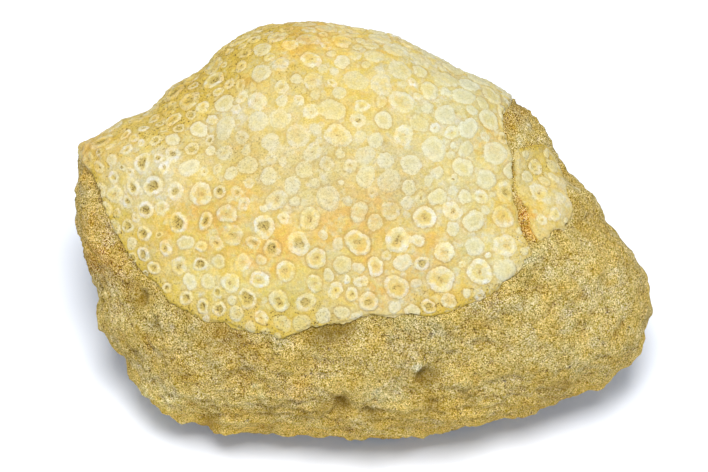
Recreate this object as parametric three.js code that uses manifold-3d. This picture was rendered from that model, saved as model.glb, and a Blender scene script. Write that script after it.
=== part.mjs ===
// A fossil fish mouth plate: a domed pavement of button teeth, still bedded in a lump of sandy
// matrix. A crack filled with sand parts a strip of the plate from the rest, at its right end.
//
// Millimetres, +Z up. The lump rests on a flat underside, with its toothed face turned up and
// forward (-Y), and the origin is under the middle of its bounding box.
//
// The lump is drawn from its face: "across" and "up" are distances from the middle of the face,
// seen square on. A flat chart carries everything on its skin. The chart's middle is the middle
// of the face, a point's distance from there is its reach round the lump in radians (half of pi
// is the brow, where the lump turns away, and pi is the middle of its back), and its direction
// is the bearing.
import * as THREE from "three";
import { mergeVertices } from "three/addons/utils/BufferGeometryUtils.js";
import Module from "manifold-3d";

const wasm = await Module();
wasm.setup();

// The lump
const faceLean = 36; // degrees that the face leans forward from looking straight up
const faceBulge = 14; // from the brow's plane to the top of the domed face
const backBulge = 16; // and to the deepest point of the back
const fullness = 2.25; // 2 is an ellipsoid, and more is boxier
const middleHeight = 15.2; // of the brow's plane at the middle of the face, over the ground
const middleAside = [-0.06, 0.48]; // of that point from the origin, along X and Y
const swellHeight = 0.6; // of the low swells on the face and the back
const halfSizes = [30, 21, 14]; // across, up and out, for the direction that leads out of the skin
const brokenReach = 2.1; // where the flats of the broken back are whole, in radians
const matrixFacets = 8; // cuts along each edge of the icosahedron that it is made from
const ballTurn = 0.1; // of that icosahedron, in radians, so that no corner is at the chart's middle
const groundSize = 100; // of the block that cuts the underside flat, and wider than the lump

// The tooth plate
const plateThickness = 2.3;
const edgeStep = 0.4; // how far the plate stands above the matrix beside it
const stepWidth = 3.2; // over which the matrix rises again, away from the plate
const toothRise = 0.28; // of a tooth's crown above the cement between the teeth
const pitDepth = 0.75; // of a hollow tooth, under its rim
const crownShare = 0.8; // of a tooth's radius, out to the rim of its crown
const mostOval = 0.16; // share of its radius that a crown is longer one way and narrower the other
const fewestSides = 3.4; // of a crown, and how many more for each millimetre of its radius
const sidesForRadius = 2.1;
const edgeMargin = 0.3; // from the plate's edge to the nearest point of a tooth that it cuts off
const fitGap = 0.3; // between the plate and its bed
const bedHeight = 6; // of the solid that cuts a bed, out of the skin
const edgeSpacing = 1.3; // between points along the plate's broken edge
const bedSpacing = 4.5; // between points under the plate
const bedMargin = 0.45; // share of that spacing, from the edge to the nearest of them

// The lump's outline, seen square to its face: across, up.
const brow = [
  [30.2, -7.8], [29.7, -5.6], [28.3, -2.5], [25.5, 0.6], [24.4, 3.3], [22.9, 4.8], [21.3, 6.4],
  [20.1, 8.4], [19.7, 9.6], [17.4, 11.7], [16.3, 12.8], [15.3, 14], [13.4, 15.3], [10, 16.7],
  [6, 18.9], [3, 20.3], [-1, 21.1], [-5.2, 21.7], [-8.6, 21.5], [-11.3, 20.9], [-13, 20.1],
  [-15, 18.7], [-16.4, 17.2], [-18.2, 15.9], [-19.8, 15], [-21.3, 13.5], [-22.9, 12.2],
  [-25.3, 11.4], [-27.7, 9.8], [-29.6, 8.8], [-29.8, 6], [-30.1, 2.4], [-29.5, -1.6],
  [-28.8, -4.2], [-28.3, -5.8], [-27.8, -7], [-27.8, -9.8], [-26.7, -11.7], [-25.1, -13.2],
  [-24.1, -15.4], [-23.1, -17.2], [-21.4, -18.8], [-19.6, -19.7], [-17.4, -19.9], [-15.6, -20.9],
  [-11, -20.9], [-5, -21.5], [1, -21.8], [7, -21.3], [13, -20.2], [19.2, -18.4], [24.3, -16.3],
  [26.9, -14.7], [28.5, -13.3], [29.4, -11.3], [30.1, -9.2],
];

// The main plate's edge where it shows on the face: across, up.
const plateEdgeOnFace = [
  [-29.2, 7], [-28.1, 6], [-27.2, 3.9], [-26.7, 1.7], [-25.7, -0.6], [-24.6, -2.6], [-23, -4.5],
  [-21.2, -6], [-20, -7.5], [-18, -8.5], [-16.6, -9.4], [-14, -9.5], [-12.3, -10.2],
  [-10.3, -10.4], [-8.6, -11], [-7, -10.6], [-5.6, -9.8], [-4.4, -9.9], [-1.6, -9.4], [0.6, -8.7],
  [2.4, -9], [5, -8.9], [7, -9.1], [9.4, -8.4], [11.2, -7.3], [13.2, -6.3], [14.4, -5.2],
  [15.7, -3.7], [17.2, -2.3], [16.7, -0.9], [16, 0.4], [15.6, 2.6], [15.6, 5], [15.45, 7],
  [14.9, 9.4], [14.5, 12.1],
];

// Its edge over the brow and on the back: bearing and reach, in degrees.
const plateEdgeBehind = [
  [41, 88], [47, 99], [56, 103], [64, 101], [73, 108], [84, 111], [93, 108], [103, 114],
  [113, 116], [122, 111], [131, 112], [140, 105], [148, 106], [156, 99], [162, 96],
];

// The parted strip's edge: across, up.
const stripEdgeOnFace = [
  [15.7, 8.4], [15.8, 6.6], [15.9, 5], [16.2, 3.9], [16.8, 2.6], [17.3, 1], [17.4, -0.1],
  [18, -1.1], [18.9, -0.9], [19.8, 0.1], [20.9, 0.1], [21.6, 1.1], [21.8, 2.1], [21.3, 3.4],
  [21.1, 5], [20.7, 6.1], [20, 7.5], [19.5, 8.8], [18, 9], [16.7, 8.7],
];

// The lump's breaks: flats that the back and underside were broken along. Each is a direction
// square to the flat, as across, up and out from the face, and its distance from the middle.
const breaks = [
  { facing: [-0.35, 0.62, -0.7], distance: 15.2 },
  { facing: [0.45, 0.42, -0.79], distance: 14.6 },
  { facing: [-0.72, -0.1, -0.69], distance: 20.5 },
  { facing: [0.78, -0.35, -0.52], distance: 21.5 },
  { facing: [0.08, -0.1, -0.99], distance: 15 },
];

// Teeth that catch the eye: across, up, radius, and how hollow each is worn, from 0 to 1.
const landmarkTeeth = [
  [8, -5.2, 1.42, 0.6], [3.35, -5.9, 1.28, 0.6], [0.5, -7.3, 1.05, 0.7], [6, -3.5, 0.8, 0.9],
  [8.3, -2.3, 1.06, 0.45], [-0.3, -5.3, 0.72, 0.4], [10.1, -3.6, 0.42, 0.6], [9.1, 0.1, 0.75, 0.2],
  [6.7, -8, 0.8, 0.9], [11.8, -4.3, 1.34, 0.45], [14.4, -1.6, 1.24, 0.45], [3.5, -1.1, 1.34, 0.7],
  [-0.6, -1.3, 1.34, 0.6], [6.3, 1.3, 1.22, 0.6], [2.7, 1.9, 1.02, 0.4], [11.2, 0.9, 1.12, 0.2],
  [10.4, 3.4, 0.76, 0], [7.6, 3.4, 0.95, 0], [10.3, 6.5, 1.12, 0.2], [7.6, 5.9, 0.7, 0],
  [7.2, 8.3, 1.34, 0], [4.1, 9.7, 1.1, 0.4], [13.6, 8, 1.36, 0], [10.8, 10.5, 1.14, 0],
  [10.3, 13.8, 1.24, 0], [8.4, 11.9, 1.2, 0], [13, 11.5, 1.24, 0], [3.9, 13.1, 1.38, 0.35],
  [2, 11.1, 1, 0], [5.8, 16.3, 0.86, 0], [6.8, 14.4, 1.1, 0], [-0.2, 12.4, 0.8, 0.6],
  [-6.6, 13.2, 0.6, 0.5], [-5.4, 17.4, 1.06, 0.45], [-3.8, 19, 0.68, 0.5], [1.1, 17.8, 1.02, 0.2],
  [-2.6, 9.4, 1.32, 0.5], [-6.7, 9.5, 1.3, 0.35], [-9.5, 8.9, 1, 0.2], [-14.2, 10.5, 1.2, 0.2],
  [-10.7, 11, 1.1, 0.1], [-3.7, 6.6, 0.8, 0.6], [0.2, 5.3, 1.1, 0.1], [-9.6, 5.4, 0.95, 0.2],
  [-3.6, 3.2, 1.28, 0.1], [-7.2, 4.5, 0.9, 0], [-0.5, 1.8, 1, 0.1], [-5.5, 1.1, 1.16, 0.6],
  [-10, 0.3, 1.16, 0.9], [-6.6, -1.4, 1.24, 0.8], [-9.2, -1.9, 0.96, 1], [-7.8, -4.1, 1.06, 0.6],
  [-3.6, -4.6, 0.66, 0], [-4.8, -2.9, 1.1, 0.5], [-5.9, -7.4, 1.02, 0.85], [-8.5, -7.1, 1.12, 0.7],
  [-11.6, -6.8, 1.04, 1], [-13.4, -5.3, 1.08, 0.35], [-10.4, -4.9, 1, 0.45],
  [-16.1, 0.9, 0.88, 0.8], [-19, 0.7, 1.1, 1], [-13.8, 1.6, 1.08, 0.45], [-18.1, -1.3, 0.88, 0],
  [-22.7, 6.9, 1.08, 0.9], [-20.4, 6.4, 0.66, 0.7], [-23.7, 4.4, 0.9, 0.8], [-21.6, 4.5, 1.1, 0.9],
  [-19.4, 4, 0.93, 0.8], [-25.7, 5.4, 0.72, 0.7], [-16.8, 3.7, 1.24, 0.45], [-22.4, 2.1, 0.9, 1],
  [-22.7, -0.4, 0.84, 1], [-24.5, 0.4, 0.76, 1], [-22.7, -2.5, 0.8, 1], [-16.7, -3.5, 0.8, 1],
  [-18.8, -3.7, 0.96, 0.7], [-18.2, -7, 0.78, 0.9], [-16.4, -7.8, 0.78, 0.9], [-14.6, -8, 0.8, 1],
  [-18, 6.4, 1.05, 0], [-13.6, 5.8, 0.78, 0.1], [-8.2, -9.4, 0.9, 0.35], [-5.6, 20.6, 0.8, 0.6],
  [-10.4, 15.8, 1.15, 0.1], [1.2, -3.8, 0.95, 0.5], [-2.2, -3.6, 1, 0.1], [4, -3.4, 0.95, 0.1],
  [5.4, -5.6, 0.55, 0], [3.2, -8, 0.68, 0], [10.5, -6.5, 0.5, 0], [11.3, -1.7, 1, 0.1],
  [12.7, -2.6, 0.4, 0.3], [16.3, -2.2, 0.5, 0], [14.3, 1.3, 1.2, 0.35], [12.6, 5.2, 1.1, 0.1],
  [13.2, 3.6, 0.35, 0], [9.2, 8.7, 0.4, 0], [4.8, 6.6, 1.1, 0.2], [4.6, 4.3, 0.8, 0.2],
  [2.2, 7, 0.9, 0.1], [1.2, 9, 0.85, 0.1], [-3.3, 15.1, 0.55, 0.7], [-8.3, 14.4, 0.8, 0.7],
  [-13.8, 15, 0.7, 0.7], [-12.6, 16.8, 0.75, 0.5], [-14.4, 17.1, 0.45, 0.9],
  [-10.4, 18.5, 1.1, 0.2], [-9.9, 20.4, 0.55, 0.8], [-7.5, 18.8, 0.9, 0.4], [-12.6, 19, 0.55, 0.7],
  [-0.3, 19.6, 0.6, 0], [-2.2, 17.3, 0.9, 0.2], [-6.9, 15.3, 0.65, 0], [-14.3, 13, 1.1, 0.1],
  [-12.4, 13.5, 0.7, 0.5], [-17.6, 14.9, 0.7, 0.9], [-19.6, 11.4, 0.9, 0.7],
  [-16.6, 12.7, 0.8, 0.6], [-17, 10.4, 1, 0.1], [-21.7, 11.5, 0.8, 0.6], [-22.8, 10.5, 0.6, 0.6],
  [-24.6, 9.9, 0.7, 0.6], [-19.6, 9.3, 0.85, 0.1], [-21.4, 9.2, 0.7, 0.8], [-22.9, 9, 0.5, 0.6],
  [-24.4, 8.3, 0.75, 0.6], [-25.9, 7.2, 0.7, 0.2], [-27.2, 8, 0.5, 0.9], [-24.8, 6.4, 0.4, 0.9],
  [-17.7, 8.4, 0.8, 0.85], [-15.8, 8.2, 0.6, 0.2], [-15.1, 6.3, 0.6, 0.35], [-8.2, 6.9, 0.55, 0],
  [-11.6, 4.7, 0.6, 0.35], [-7, 2.9, 0.6, 0], [-10, 2.1, 0.45, 0], [-5, 4.7, 0.6, 0],
  [-2.3, 4.8, 0.35, 0], [-12, 8.2, 0.6, 0.35], [-8.1, 1.2, 0.65, 0.4], [-12, 2.6, 0.75, 0.5],
  [-4.1, -0.5, 0.55, 0], [-12.2, -3.3, 0.95, 0.45], [-14.9, -1.3, 0.8, 0.6],
  [-14.7, -3.2, 0.8, 0.2], [-16.5, -1.7, 0.65, 0.5], [-20.2, -1.9, 0.8, 0.7],
  [-21, -0.5, 0.4, 0.9], [-21.5, -3.9, 0.8, 0.7], [-24.1, -1.4, 0.7, 0.1], [-20.2, -6, 0.6, 0.8],
  [-17.8, -5.3, 0.85, 0], [-15.9, -5.3, 0.85, 0.2], [-12.8, -8.4, 0.85, 0.35],
  [-10.3, -8.8, 0.8, 0.4], [-5, -5.5, 0.9, 0.5], [-2.9, -6.2, 0.85, 0.5], [-1.7, -5.1, 0.45, 0.35],
  [-4.1, -8.7, 0.85, 0], [-2.2, -8.4, 0.8, 0],
];
const stripTeeth = [
  [18.2, 3.9, 1.1, 0.4], [17.9, 6.6, 0.95, 0.35], [19.7, 5.4, 0.7, 0.1], [20.3, 3.4, 0.7, 0.1],
  [19.7, 1.6, 0.75, 0.4], [20.9, 0.9, 0.42, 0], [16.8, 7.8, 0.5, 0.1], [19, 8, 0.6, 0.2],
  [18.3, 1, 0.6, 0.5],
];

// The rest fill what is left, the largest first: their least radius, and how many are tried for.
const fillSizes = [
  { least: 1.16, rounds: 34 },
  { least: 1.0, rounds: 60 },
  { least: 0.84, rounds: 90 },
  { least: 0.68, rounds: 70 },
];
const placesTried = 40; // for each of them, to find the tightest place
const largestFill = 1.3;
const toothClearance = 0.05; // between one tooth's edge and the next
const edgeClearance = 0.55; // between a tooth and the plate's edge
const pittedEnd = -0.45; // across the chart, and left of it most of the teeth are hollow
const leastPitted = 0.35; // how hollow the least worn of those is
const mostElsewhere = 0.75; // and the most worn of the rest
const chartScale = 17; // millimetres to a radian of the chart, near the plate's edge

// The low swells of the skin: each is a product of waves, and a wave is how many radians it goes
// on for a millimetre across, up and out, and where it starts.
const swells = [
  [[0.21, 0, 0, 1.3], [0, 0.26, 0, -0.4]],
  [[0.17, 0, 0.23, 0]],
  [[0.52, -0.31, 0, 2.1], [0, 0.36, 0.47, 0.8]],
];

const degrees = Math.PI / 180;
const turn = 2 * Math.PI;

// A repeatable stream of numbers from 0 to 1.
function numbersFrom(seed) {
  let state = seed;
  return () => {
    state = (Math.imul(state, 1664525) + 1013904223) >>> 0;
    return state / 4294967296;
  };
}

// The brow's radius at any bearing, by a smooth curve through its points.
const browPoints = brow
  .map(([across, up]) => ({ bearing: Math.atan2(up, across), radius: Math.hypot(across, up) }))
  .sort((a, b) => a.bearing - b.bearing);

function browRadius(bearing) {
  const count = browPoints.length;
  let next = browPoints.findIndex((point) => point.bearing > bearing);
  if (next < 0) next = count;
  const [p0, p1, p2, p3] = [-2, -1, 0, 1].map((step) => {
    const place = (next + step + count) % count;
    const laps = Math.floor((next + step) / count);
    return { bearing: browPoints[place].bearing + laps * turn, radius: browPoints[place].radius };
  });
  const span = p2.bearing - p1.bearing;
  const t = (bearing - p1.bearing) / span;
  const leave = (span * (p2.radius - p0.radius)) / (p2.bearing - p0.bearing);
  const arrive = (span * (p3.radius - p1.radius)) / (p3.bearing - p1.bearing);
  const held = p1.radius * (1 + 2 * t) * (1 - t) ** 2 + p2.radius * (3 - 2 * t) * t * t;
  return held + leave * t * (1 - t) ** 2 - arrive * (1 - t) * t * t;
}

function swell(p) {
  const wave = ([across, up, out, start]) => Math.sin(across * p.x + up * p.y + out * p.z + start);
  const heights = swells.map((waves) => waves.reduce((height, one) => height * wave(one), 1));
  return 0.5 * swellHeight * heights.reduce((sum, height) => sum + height, 0);
}

// A point of the skin, or lifted off it, in the face's own frame: x across, y up and z out.
function skinInFace(chart, lift) {
  const bearing = Math.atan2(chart.y, chart.x);
  const reach = Math.min(chart.length(), Math.PI);
  const power = 2 / fullness;
  const outward = Math.cos(reach) < 0 ? -backBulge : faceBulge;
  const spread = browRadius(bearing) * Math.sin(reach) ** power;
  const p = new THREE.Vector3(spread * Math.cos(bearing), spread * Math.sin(bearing), 0);
  p.z = outward * Math.abs(Math.cos(reach)) ** power;
  for (const { facing, distance } of breaks) {
    const square = new THREE.Vector3(...facing).normalize();
    const past = Math.max(0, p.dot(square) - distance);
    p.addScaledVector(square, -past * THREE.MathUtils.smoothstep(reach, Math.PI / 2, brokenReach));
  }
  const outOfSkin = p.clone().divide(new THREE.Vector3(...halfSizes)).normalize();
  return p.addScaledVector(outOfSkin, lift + Math.abs(Math.cos(reach)) * swell(p));
}

// The same point where the lump stands.
const lean = faceLean * degrees;
function skin(chart, lift = 0) {
  const p = skinInFace(chart, lift);
  return new THREE.Vector3(
    p.x + middleAside[0],
    p.y * Math.cos(lean) - p.z * Math.sin(lean) + middleAside[1],
    p.y * Math.sin(lean) + p.z * Math.cos(lean) + middleHeight,
  );
}

// Chart points from distances on the face, and from bearing and reach.
function chartOfFace([across, up]) {
  const bearing = Math.atan2(up, across);
  const share = Math.min(1, Math.hypot(across, up) / browRadius(bearing));
  const reach = Math.asin(share ** (fullness / 2));
  return new THREE.Vector2(reach * Math.cos(bearing), reach * Math.sin(bearing));
}
function chartOfBearing([bearing, reach]) {
  return new THREE.Vector2(Math.cos(bearing * degrees), Math.sin(bearing * degrees)).multiplyScalar(
    reach * degrees,
  );
}

const plateEdge = [...plateEdgeOnFace.map(chartOfFace), ...plateEdgeBehind.map(chartOfBearing)];
const stripEdge = stripEdgeOnFace.map(chartOfFace);

// How far a chart point is outside an edge, or, below zero, inside it.
function outside(edge, point) {
  let nearest = Infinity;
  let within = false;
  edge.forEach((a, i) => {
    const b = edge[(i + 1) % edge.length];
    const along = b.clone().sub(a);
    const to = point.clone().sub(a);
    const share = Math.min(1, Math.max(0, to.dot(along) / along.lengthSq()));
    nearest = Math.min(nearest, to.distanceTo(along.clone().multiplyScalar(share)));
    if (a.y > point.y !== b.y > point.y && to.x < (along.x * to.y) / along.y) within = !within;
  });
  return within ? -nearest : nearest;
}

// The radius of the largest tooth that keeps clear of an edge at a chart point.
function roomToEdge(edge, chart) {
  return -outside(edge, chart) * chartScale - edgeClearance;
}

// A tooth on a plate, with the stretch and turn of its oval crown.
function tooth(chart, radius, hollow, random) {
  return { chart, radius, hollow, middle: skin(chart), oval: mostOval * random(), turned: turn * random() };
}

// All of the teeth of one plate: the ones that are named, and the ones that fill it up. Each of
// these goes to the tightest place, of the places tried for it, that it fits in.
function teethOf(edge, named, seed) {
  const random = numbersFrom(seed);
  const teeth = named.map(([across, up, radius, hollow]) =>
    tooth(chartOfFace([across, up]), radius, hollow, random),
  );
  const [xs, ys] = [edge.map((p) => p.x), edge.map((p) => p.y)];
  const [left, low] = [Math.min(...xs), Math.min(...ys)];
  const [width, height] = [Math.max(...xs) - left, Math.max(...ys) - low];
  const room = (chart) => {
    const middle = skin(chart);
    const gaps = teeth.map((other) => middle.distanceTo(other.middle) - other.radius);
    return Math.min(...gaps.map((gap) => gap - toothClearance), roomToEdge(edge, chart));
  };
  for (const { least, rounds } of fillSizes) {
    for (let round = 0; round < rounds; round++) {
      const places = Array.from({ length: placesTried }, () => {
        const chart = new THREE.Vector2(left + width * random(), low + height * random());
        return { chart, room: room(chart) };
      });
      const [tightest] = places.filter((place) => place.room > least).sort((a, b) => a.room - b.room);
      const hollow = random();
      if (!tightest) continue;
      const pitted = leastPitted + (1 - leastPitted) * hollow;
      const worn = tightest.chart.x < pittedEnd ? pitted : mostElsewhere * hollow * hollow;
      teeth.push(tooth(tightest.chart, Math.min(tightest.room, largestFill), worn, random));
    }
  }
  return teeth;
}

// Chart steps that lead a given distance over the skin in every direction, round a chart point.
function skinSteps(chart) {
  const tiny = 1e-3;
  const start = skin(chart);
  const east = skin(chart.clone().add(new THREE.Vector2(tiny, 0))).sub(start).divideScalar(tiny);
  const north = skin(chart.clone().add(new THREE.Vector2(0, tiny))).sub(start).divideScalar(tiny);
  const [ee, en, nn] = [east.dot(east), east.dot(north), north.dot(north)];
  const area = Math.sqrt(ee * nn - en * en);
  const size = Math.sqrt(ee + nn + 2 * area);
  const [a, b, c] = [(ee + area) / size, en / size, (nn + area) / size];
  const whole = a * c - b * b;
  return (x, y) => new THREE.Vector2((c * x - b * y) / whole, (a * y - b * x) / whole);
}

// The skin points of one tooth: its foot, the rim of its crown and its middle.
function toothPoints({ chart, radius, hollow, oval, turned }) {
  const step = skinSteps(chart);
  const sides = Math.round(fewestSides + sidesForRadius * radius);
  const points = [{ chart, lift: toothRise - pitDepth * hollow }];
  for (let i = 0; i < sides; i++) {
    const angle = (turn * i) / sides;
    for (const [share, lift] of [[1, 0], [crownShare, toothRise]]) {
      const [long, wide] = [radius * share * (1 + oval), radius * share * (1 - oval)];
      const [x, y] = [long * Math.cos(angle), wide * Math.sin(angle)];
      const [cosine, sine] = [Math.cos(turned), Math.sin(turned)];
      points.push({ chart: chart.clone().add(step(x * cosine - y * sine, x * sine + y * cosine)), lift });
    }
  }
  return points;
}

// Points along an edge, evenly spaced over the skin and moved out by a distance.
function spacedEdge(edge, grow) {
  const points = [];
  edge.forEach((a, i) => {
    const b = edge[(i + 1) % edge.length];
    const pieces = Math.max(1, Math.round(skin(a).distanceTo(skin(b)) / edgeSpacing));
    for (let k = 0; k < pieces; k++) points.push(a.clone().lerp(b, k / pieces));
  });
  return points.map((p, i) => {
    const before = points[(i + points.length - 1) % points.length];
    const after = points[(i + 1) % points.length];
    const along = after.clone().sub(before).normalize();
    return p.clone().add(new THREE.Vector2(along.y, -along.x).multiplyScalar(grow / chartScale));
  });
}

// Sparse chart points inside an edge, in rows of even triangles.
function bedPoints(edge) {
  const spacing = bedSpacing / chartScale;
  const rowSpacing = (spacing * Math.sqrt(3)) / 2;
  const most = Math.ceil(Math.PI / spacing);
  const points = [];
  for (let row = -most; row <= most; row++) {
    for (let column = -most; column <= most; column++) {
      const point = new THREE.Vector2((column + 0.5 * (row & 1)) * spacing, row * rowSpacing);
      if (outside(edge, point) < -bedMargin * spacing) points.push(point);
    }
  }
  return points;
}

// Bowyer and Watson's triangulation of flat points, without the triangles that lie outside an edge.
function triangulate(points, edge) {
  const far = 1000;
  const all = [...points, ...[[-far, -far], [far, -far], [0, far]].map((p) => new THREE.Vector2(...p))];
  const circled = (a, b, c) => {
    const [p, q, r] = [all[a], all[b].clone().sub(all[a]), all[c].clone().sub(all[a])];
    const twice = 2 * q.cross(r);
    const x = (r.y * q.lengthSq() - q.y * r.lengthSq()) / twice;
    const y = (q.x * r.lengthSq() - r.x * q.lengthSq()) / twice;
    return { corners: [a, b, c], x: p.x + x, y: p.y + y, square: x * x + y * y };
  };
  let triangles = [circled(points.length, points.length + 1, points.length + 2)];
  points.forEach((point, i) => {
    const open = new Map();
    triangles = triangles.filter((t) => {
      if ((point.x - t.x) ** 2 + (point.y - t.y) ** 2 >= t.square) return true;
      t.corners.forEach((a, k) => {
        const b = t.corners[(k + 1) % 3];
        if (!open.delete(b * all.length + a)) open.set(a * all.length + b, [a, b]);
      });
      return false;
    });
    for (const [a, b] of open.values()) triangles.push(circled(a, b, i));
  });
  return triangles
    .map((t) => t.corners)
    .filter((corners) => Math.max(...corners) < points.length)
    .filter(([a, b, c]) => {
      const centre = points[a].clone().add(points[b]).add(points[c]).divideScalar(3);
      return outside(edge, centre) < 0;
    });
}

// A closed curved slab on the skin: an upper face through raised points, a lower face through
// chart points that lie under it, and a wall between them along the edge.
function slab(edge, raised, edgeLift, below, under) {
  const upper = [...edge.map((chart) => ({ chart, lift: edgeLift })), ...raised];
  const lower = [...edge, ...below].map((chart) => ({ chart, lift: under }));
  const positions = [...upper, ...lower].flatMap(({ chart, lift }) => skin(chart, lift).toArray());
  const index = triangulate(upper.map((p) => p.chart), edge).flat();
  for (const [a, b, c] of triangulate(lower.map((p) => p.chart), edge)) {
    index.push(c + upper.length, b + upper.length, a + upper.length);
  }
  edge.forEach((_, i) => {
    const next = (i + 1) % edge.length;
    index.push(i, i + upper.length, next + upper.length, i, next + upper.length, next);
  });
  const geometry = new THREE.BufferGeometry();
  geometry.setAttribute("position", new THREE.Float32BufferAttribute(positions, 3));
  return geometry.setIndex(index);
}

// A closed geometry as a manifold-3d solid, and back.
function solid(geometry) {
  return new wasm.Manifold(
    new wasm.Mesh({
      numProp: 3,
      vertProperties: new Float32Array(geometry.attributes.position.array),
      triVerts: new Uint32Array(geometry.index.array),
    }),
  );
}
function geometryOf(manifold) {
  const mesh = manifold.getMesh();
  const geometry = new THREE.BufferGeometry();
  geometry.setAttribute("position", new THREE.Float32BufferAttribute(mesh.vertProperties, 3));
  geometry.setIndex(new THREE.Uint32BufferAttribute(mesh.triVerts, 1));
  geometry.computeVertexNormals();
  return geometry;
}

// The matrix: the whole lump, low beside the plate, with the plates' beds and the ground cut away.
function matrixGeometry() {
  const ball = new THREE.IcosahedronGeometry(1, matrixFacets).rotateX(ballTurn);
  ball.deleteAttribute("normal");
  ball.deleteAttribute("uv");
  const lump = mergeVertices(ball, 1e-4);
  const place = lump.attributes.position;
  for (let i = 0; i < place.count; i++) {
    const way = new THREE.Vector3().fromBufferAttribute(place, i).normalize();
    const chart = new THREE.Vector2(way.x, way.y).setLength(Math.acos(way.z) || 1e-9);
    const beside = Math.min(outside(plateEdge, chart), outside(stripEdge, chart)) * chartScale;
    const rise = THREE.MathUtils.smoothstep(beside, 0, stepWidth);
    place.setXYZ(i, ...skin(chart, -edgeStep * (1 - rise)));
  }
  const beds = [plateEdge, stripEdge].map((edge) =>
    solid(slab(spacedEdge(edge, fitGap), [], bedHeight, bedPoints(edge), -plateThickness - fitGap)),
  );
  const ground = new THREE.BoxGeometry(groundSize, groundSize, groundSize);
  ground.translate(0, 0, -groundSize / 2);
  ground.deleteAttribute("normal");
  ground.deleteAttribute("uv");
  let matrix = solid(lump).subtract(solid(mergeVertices(ground)));
  for (const bed of beds) matrix = matrix.subtract(bed);
  const largest = matrix.decompose().sort((a, b) => b.volume() - a.volume())[0];
  return geometryOf(largest);
}

// A plate with its teeth. A tooth's points are left out where the edge or another tooth cuts it.
function plateGeometry(edge, teeth) {
  const within = ({ chart }) => outside(edge, chart) * chartScale < -edgeMargin;
  const raised = teeth.flatMap((own) => {
    const others = teeth.filter((other) => other !== own);
    const free = (place) => others.every((other) => place.distanceTo(other.middle) > other.radius);
    return toothPoints(own).filter((point) => within(point) && free(skin(point.chart)));
  });
  return geometryOf(solid(slab(spacedEdge(edge, 0), raised, 0, bedPoints(edge), -plateThickness)));
}

const sandyMatrix = new THREE.MeshStandardMaterial({ color: 0xbda565, roughness: 0.95, metalness: 0 });
const toothEnamel = new THREE.MeshStandardMaterial({ color: 0xe8d9a4, roughness: 0.5, metalness: 0 });

function piece(name, geometry, material) {
  const mesh = new THREE.Mesh(geometry, material);
  mesh.name = name;
  return mesh;
}

const mouthPlate = new THREE.Group();
mouthPlate.add(
  piece("matrix", matrixGeometry(), sandyMatrix),
  piece("tooth_plate", plateGeometry(plateEdge, teethOf(plateEdge, landmarkTeeth, 7)), toothEnamel),
  piece("parted_strip", plateGeometry(stripEdge, teethOf(stripEdge, stripTeeth, 11)), toothEnamel),
);

export default mouthPlate;
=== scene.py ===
import math
import bpy
import numpy as np
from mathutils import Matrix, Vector, noise


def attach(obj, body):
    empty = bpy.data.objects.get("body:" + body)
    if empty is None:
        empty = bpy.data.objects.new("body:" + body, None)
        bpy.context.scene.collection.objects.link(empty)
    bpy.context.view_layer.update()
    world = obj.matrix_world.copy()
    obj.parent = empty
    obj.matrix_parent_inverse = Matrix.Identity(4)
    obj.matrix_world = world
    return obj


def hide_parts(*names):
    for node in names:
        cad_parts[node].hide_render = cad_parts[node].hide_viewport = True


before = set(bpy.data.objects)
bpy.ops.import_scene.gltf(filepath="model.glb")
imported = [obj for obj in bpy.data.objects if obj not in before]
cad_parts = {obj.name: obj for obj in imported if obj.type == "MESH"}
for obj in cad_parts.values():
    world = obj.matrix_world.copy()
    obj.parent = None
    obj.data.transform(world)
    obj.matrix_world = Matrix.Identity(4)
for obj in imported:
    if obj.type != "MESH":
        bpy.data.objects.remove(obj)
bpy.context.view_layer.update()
turn = 2 * math.pi

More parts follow.
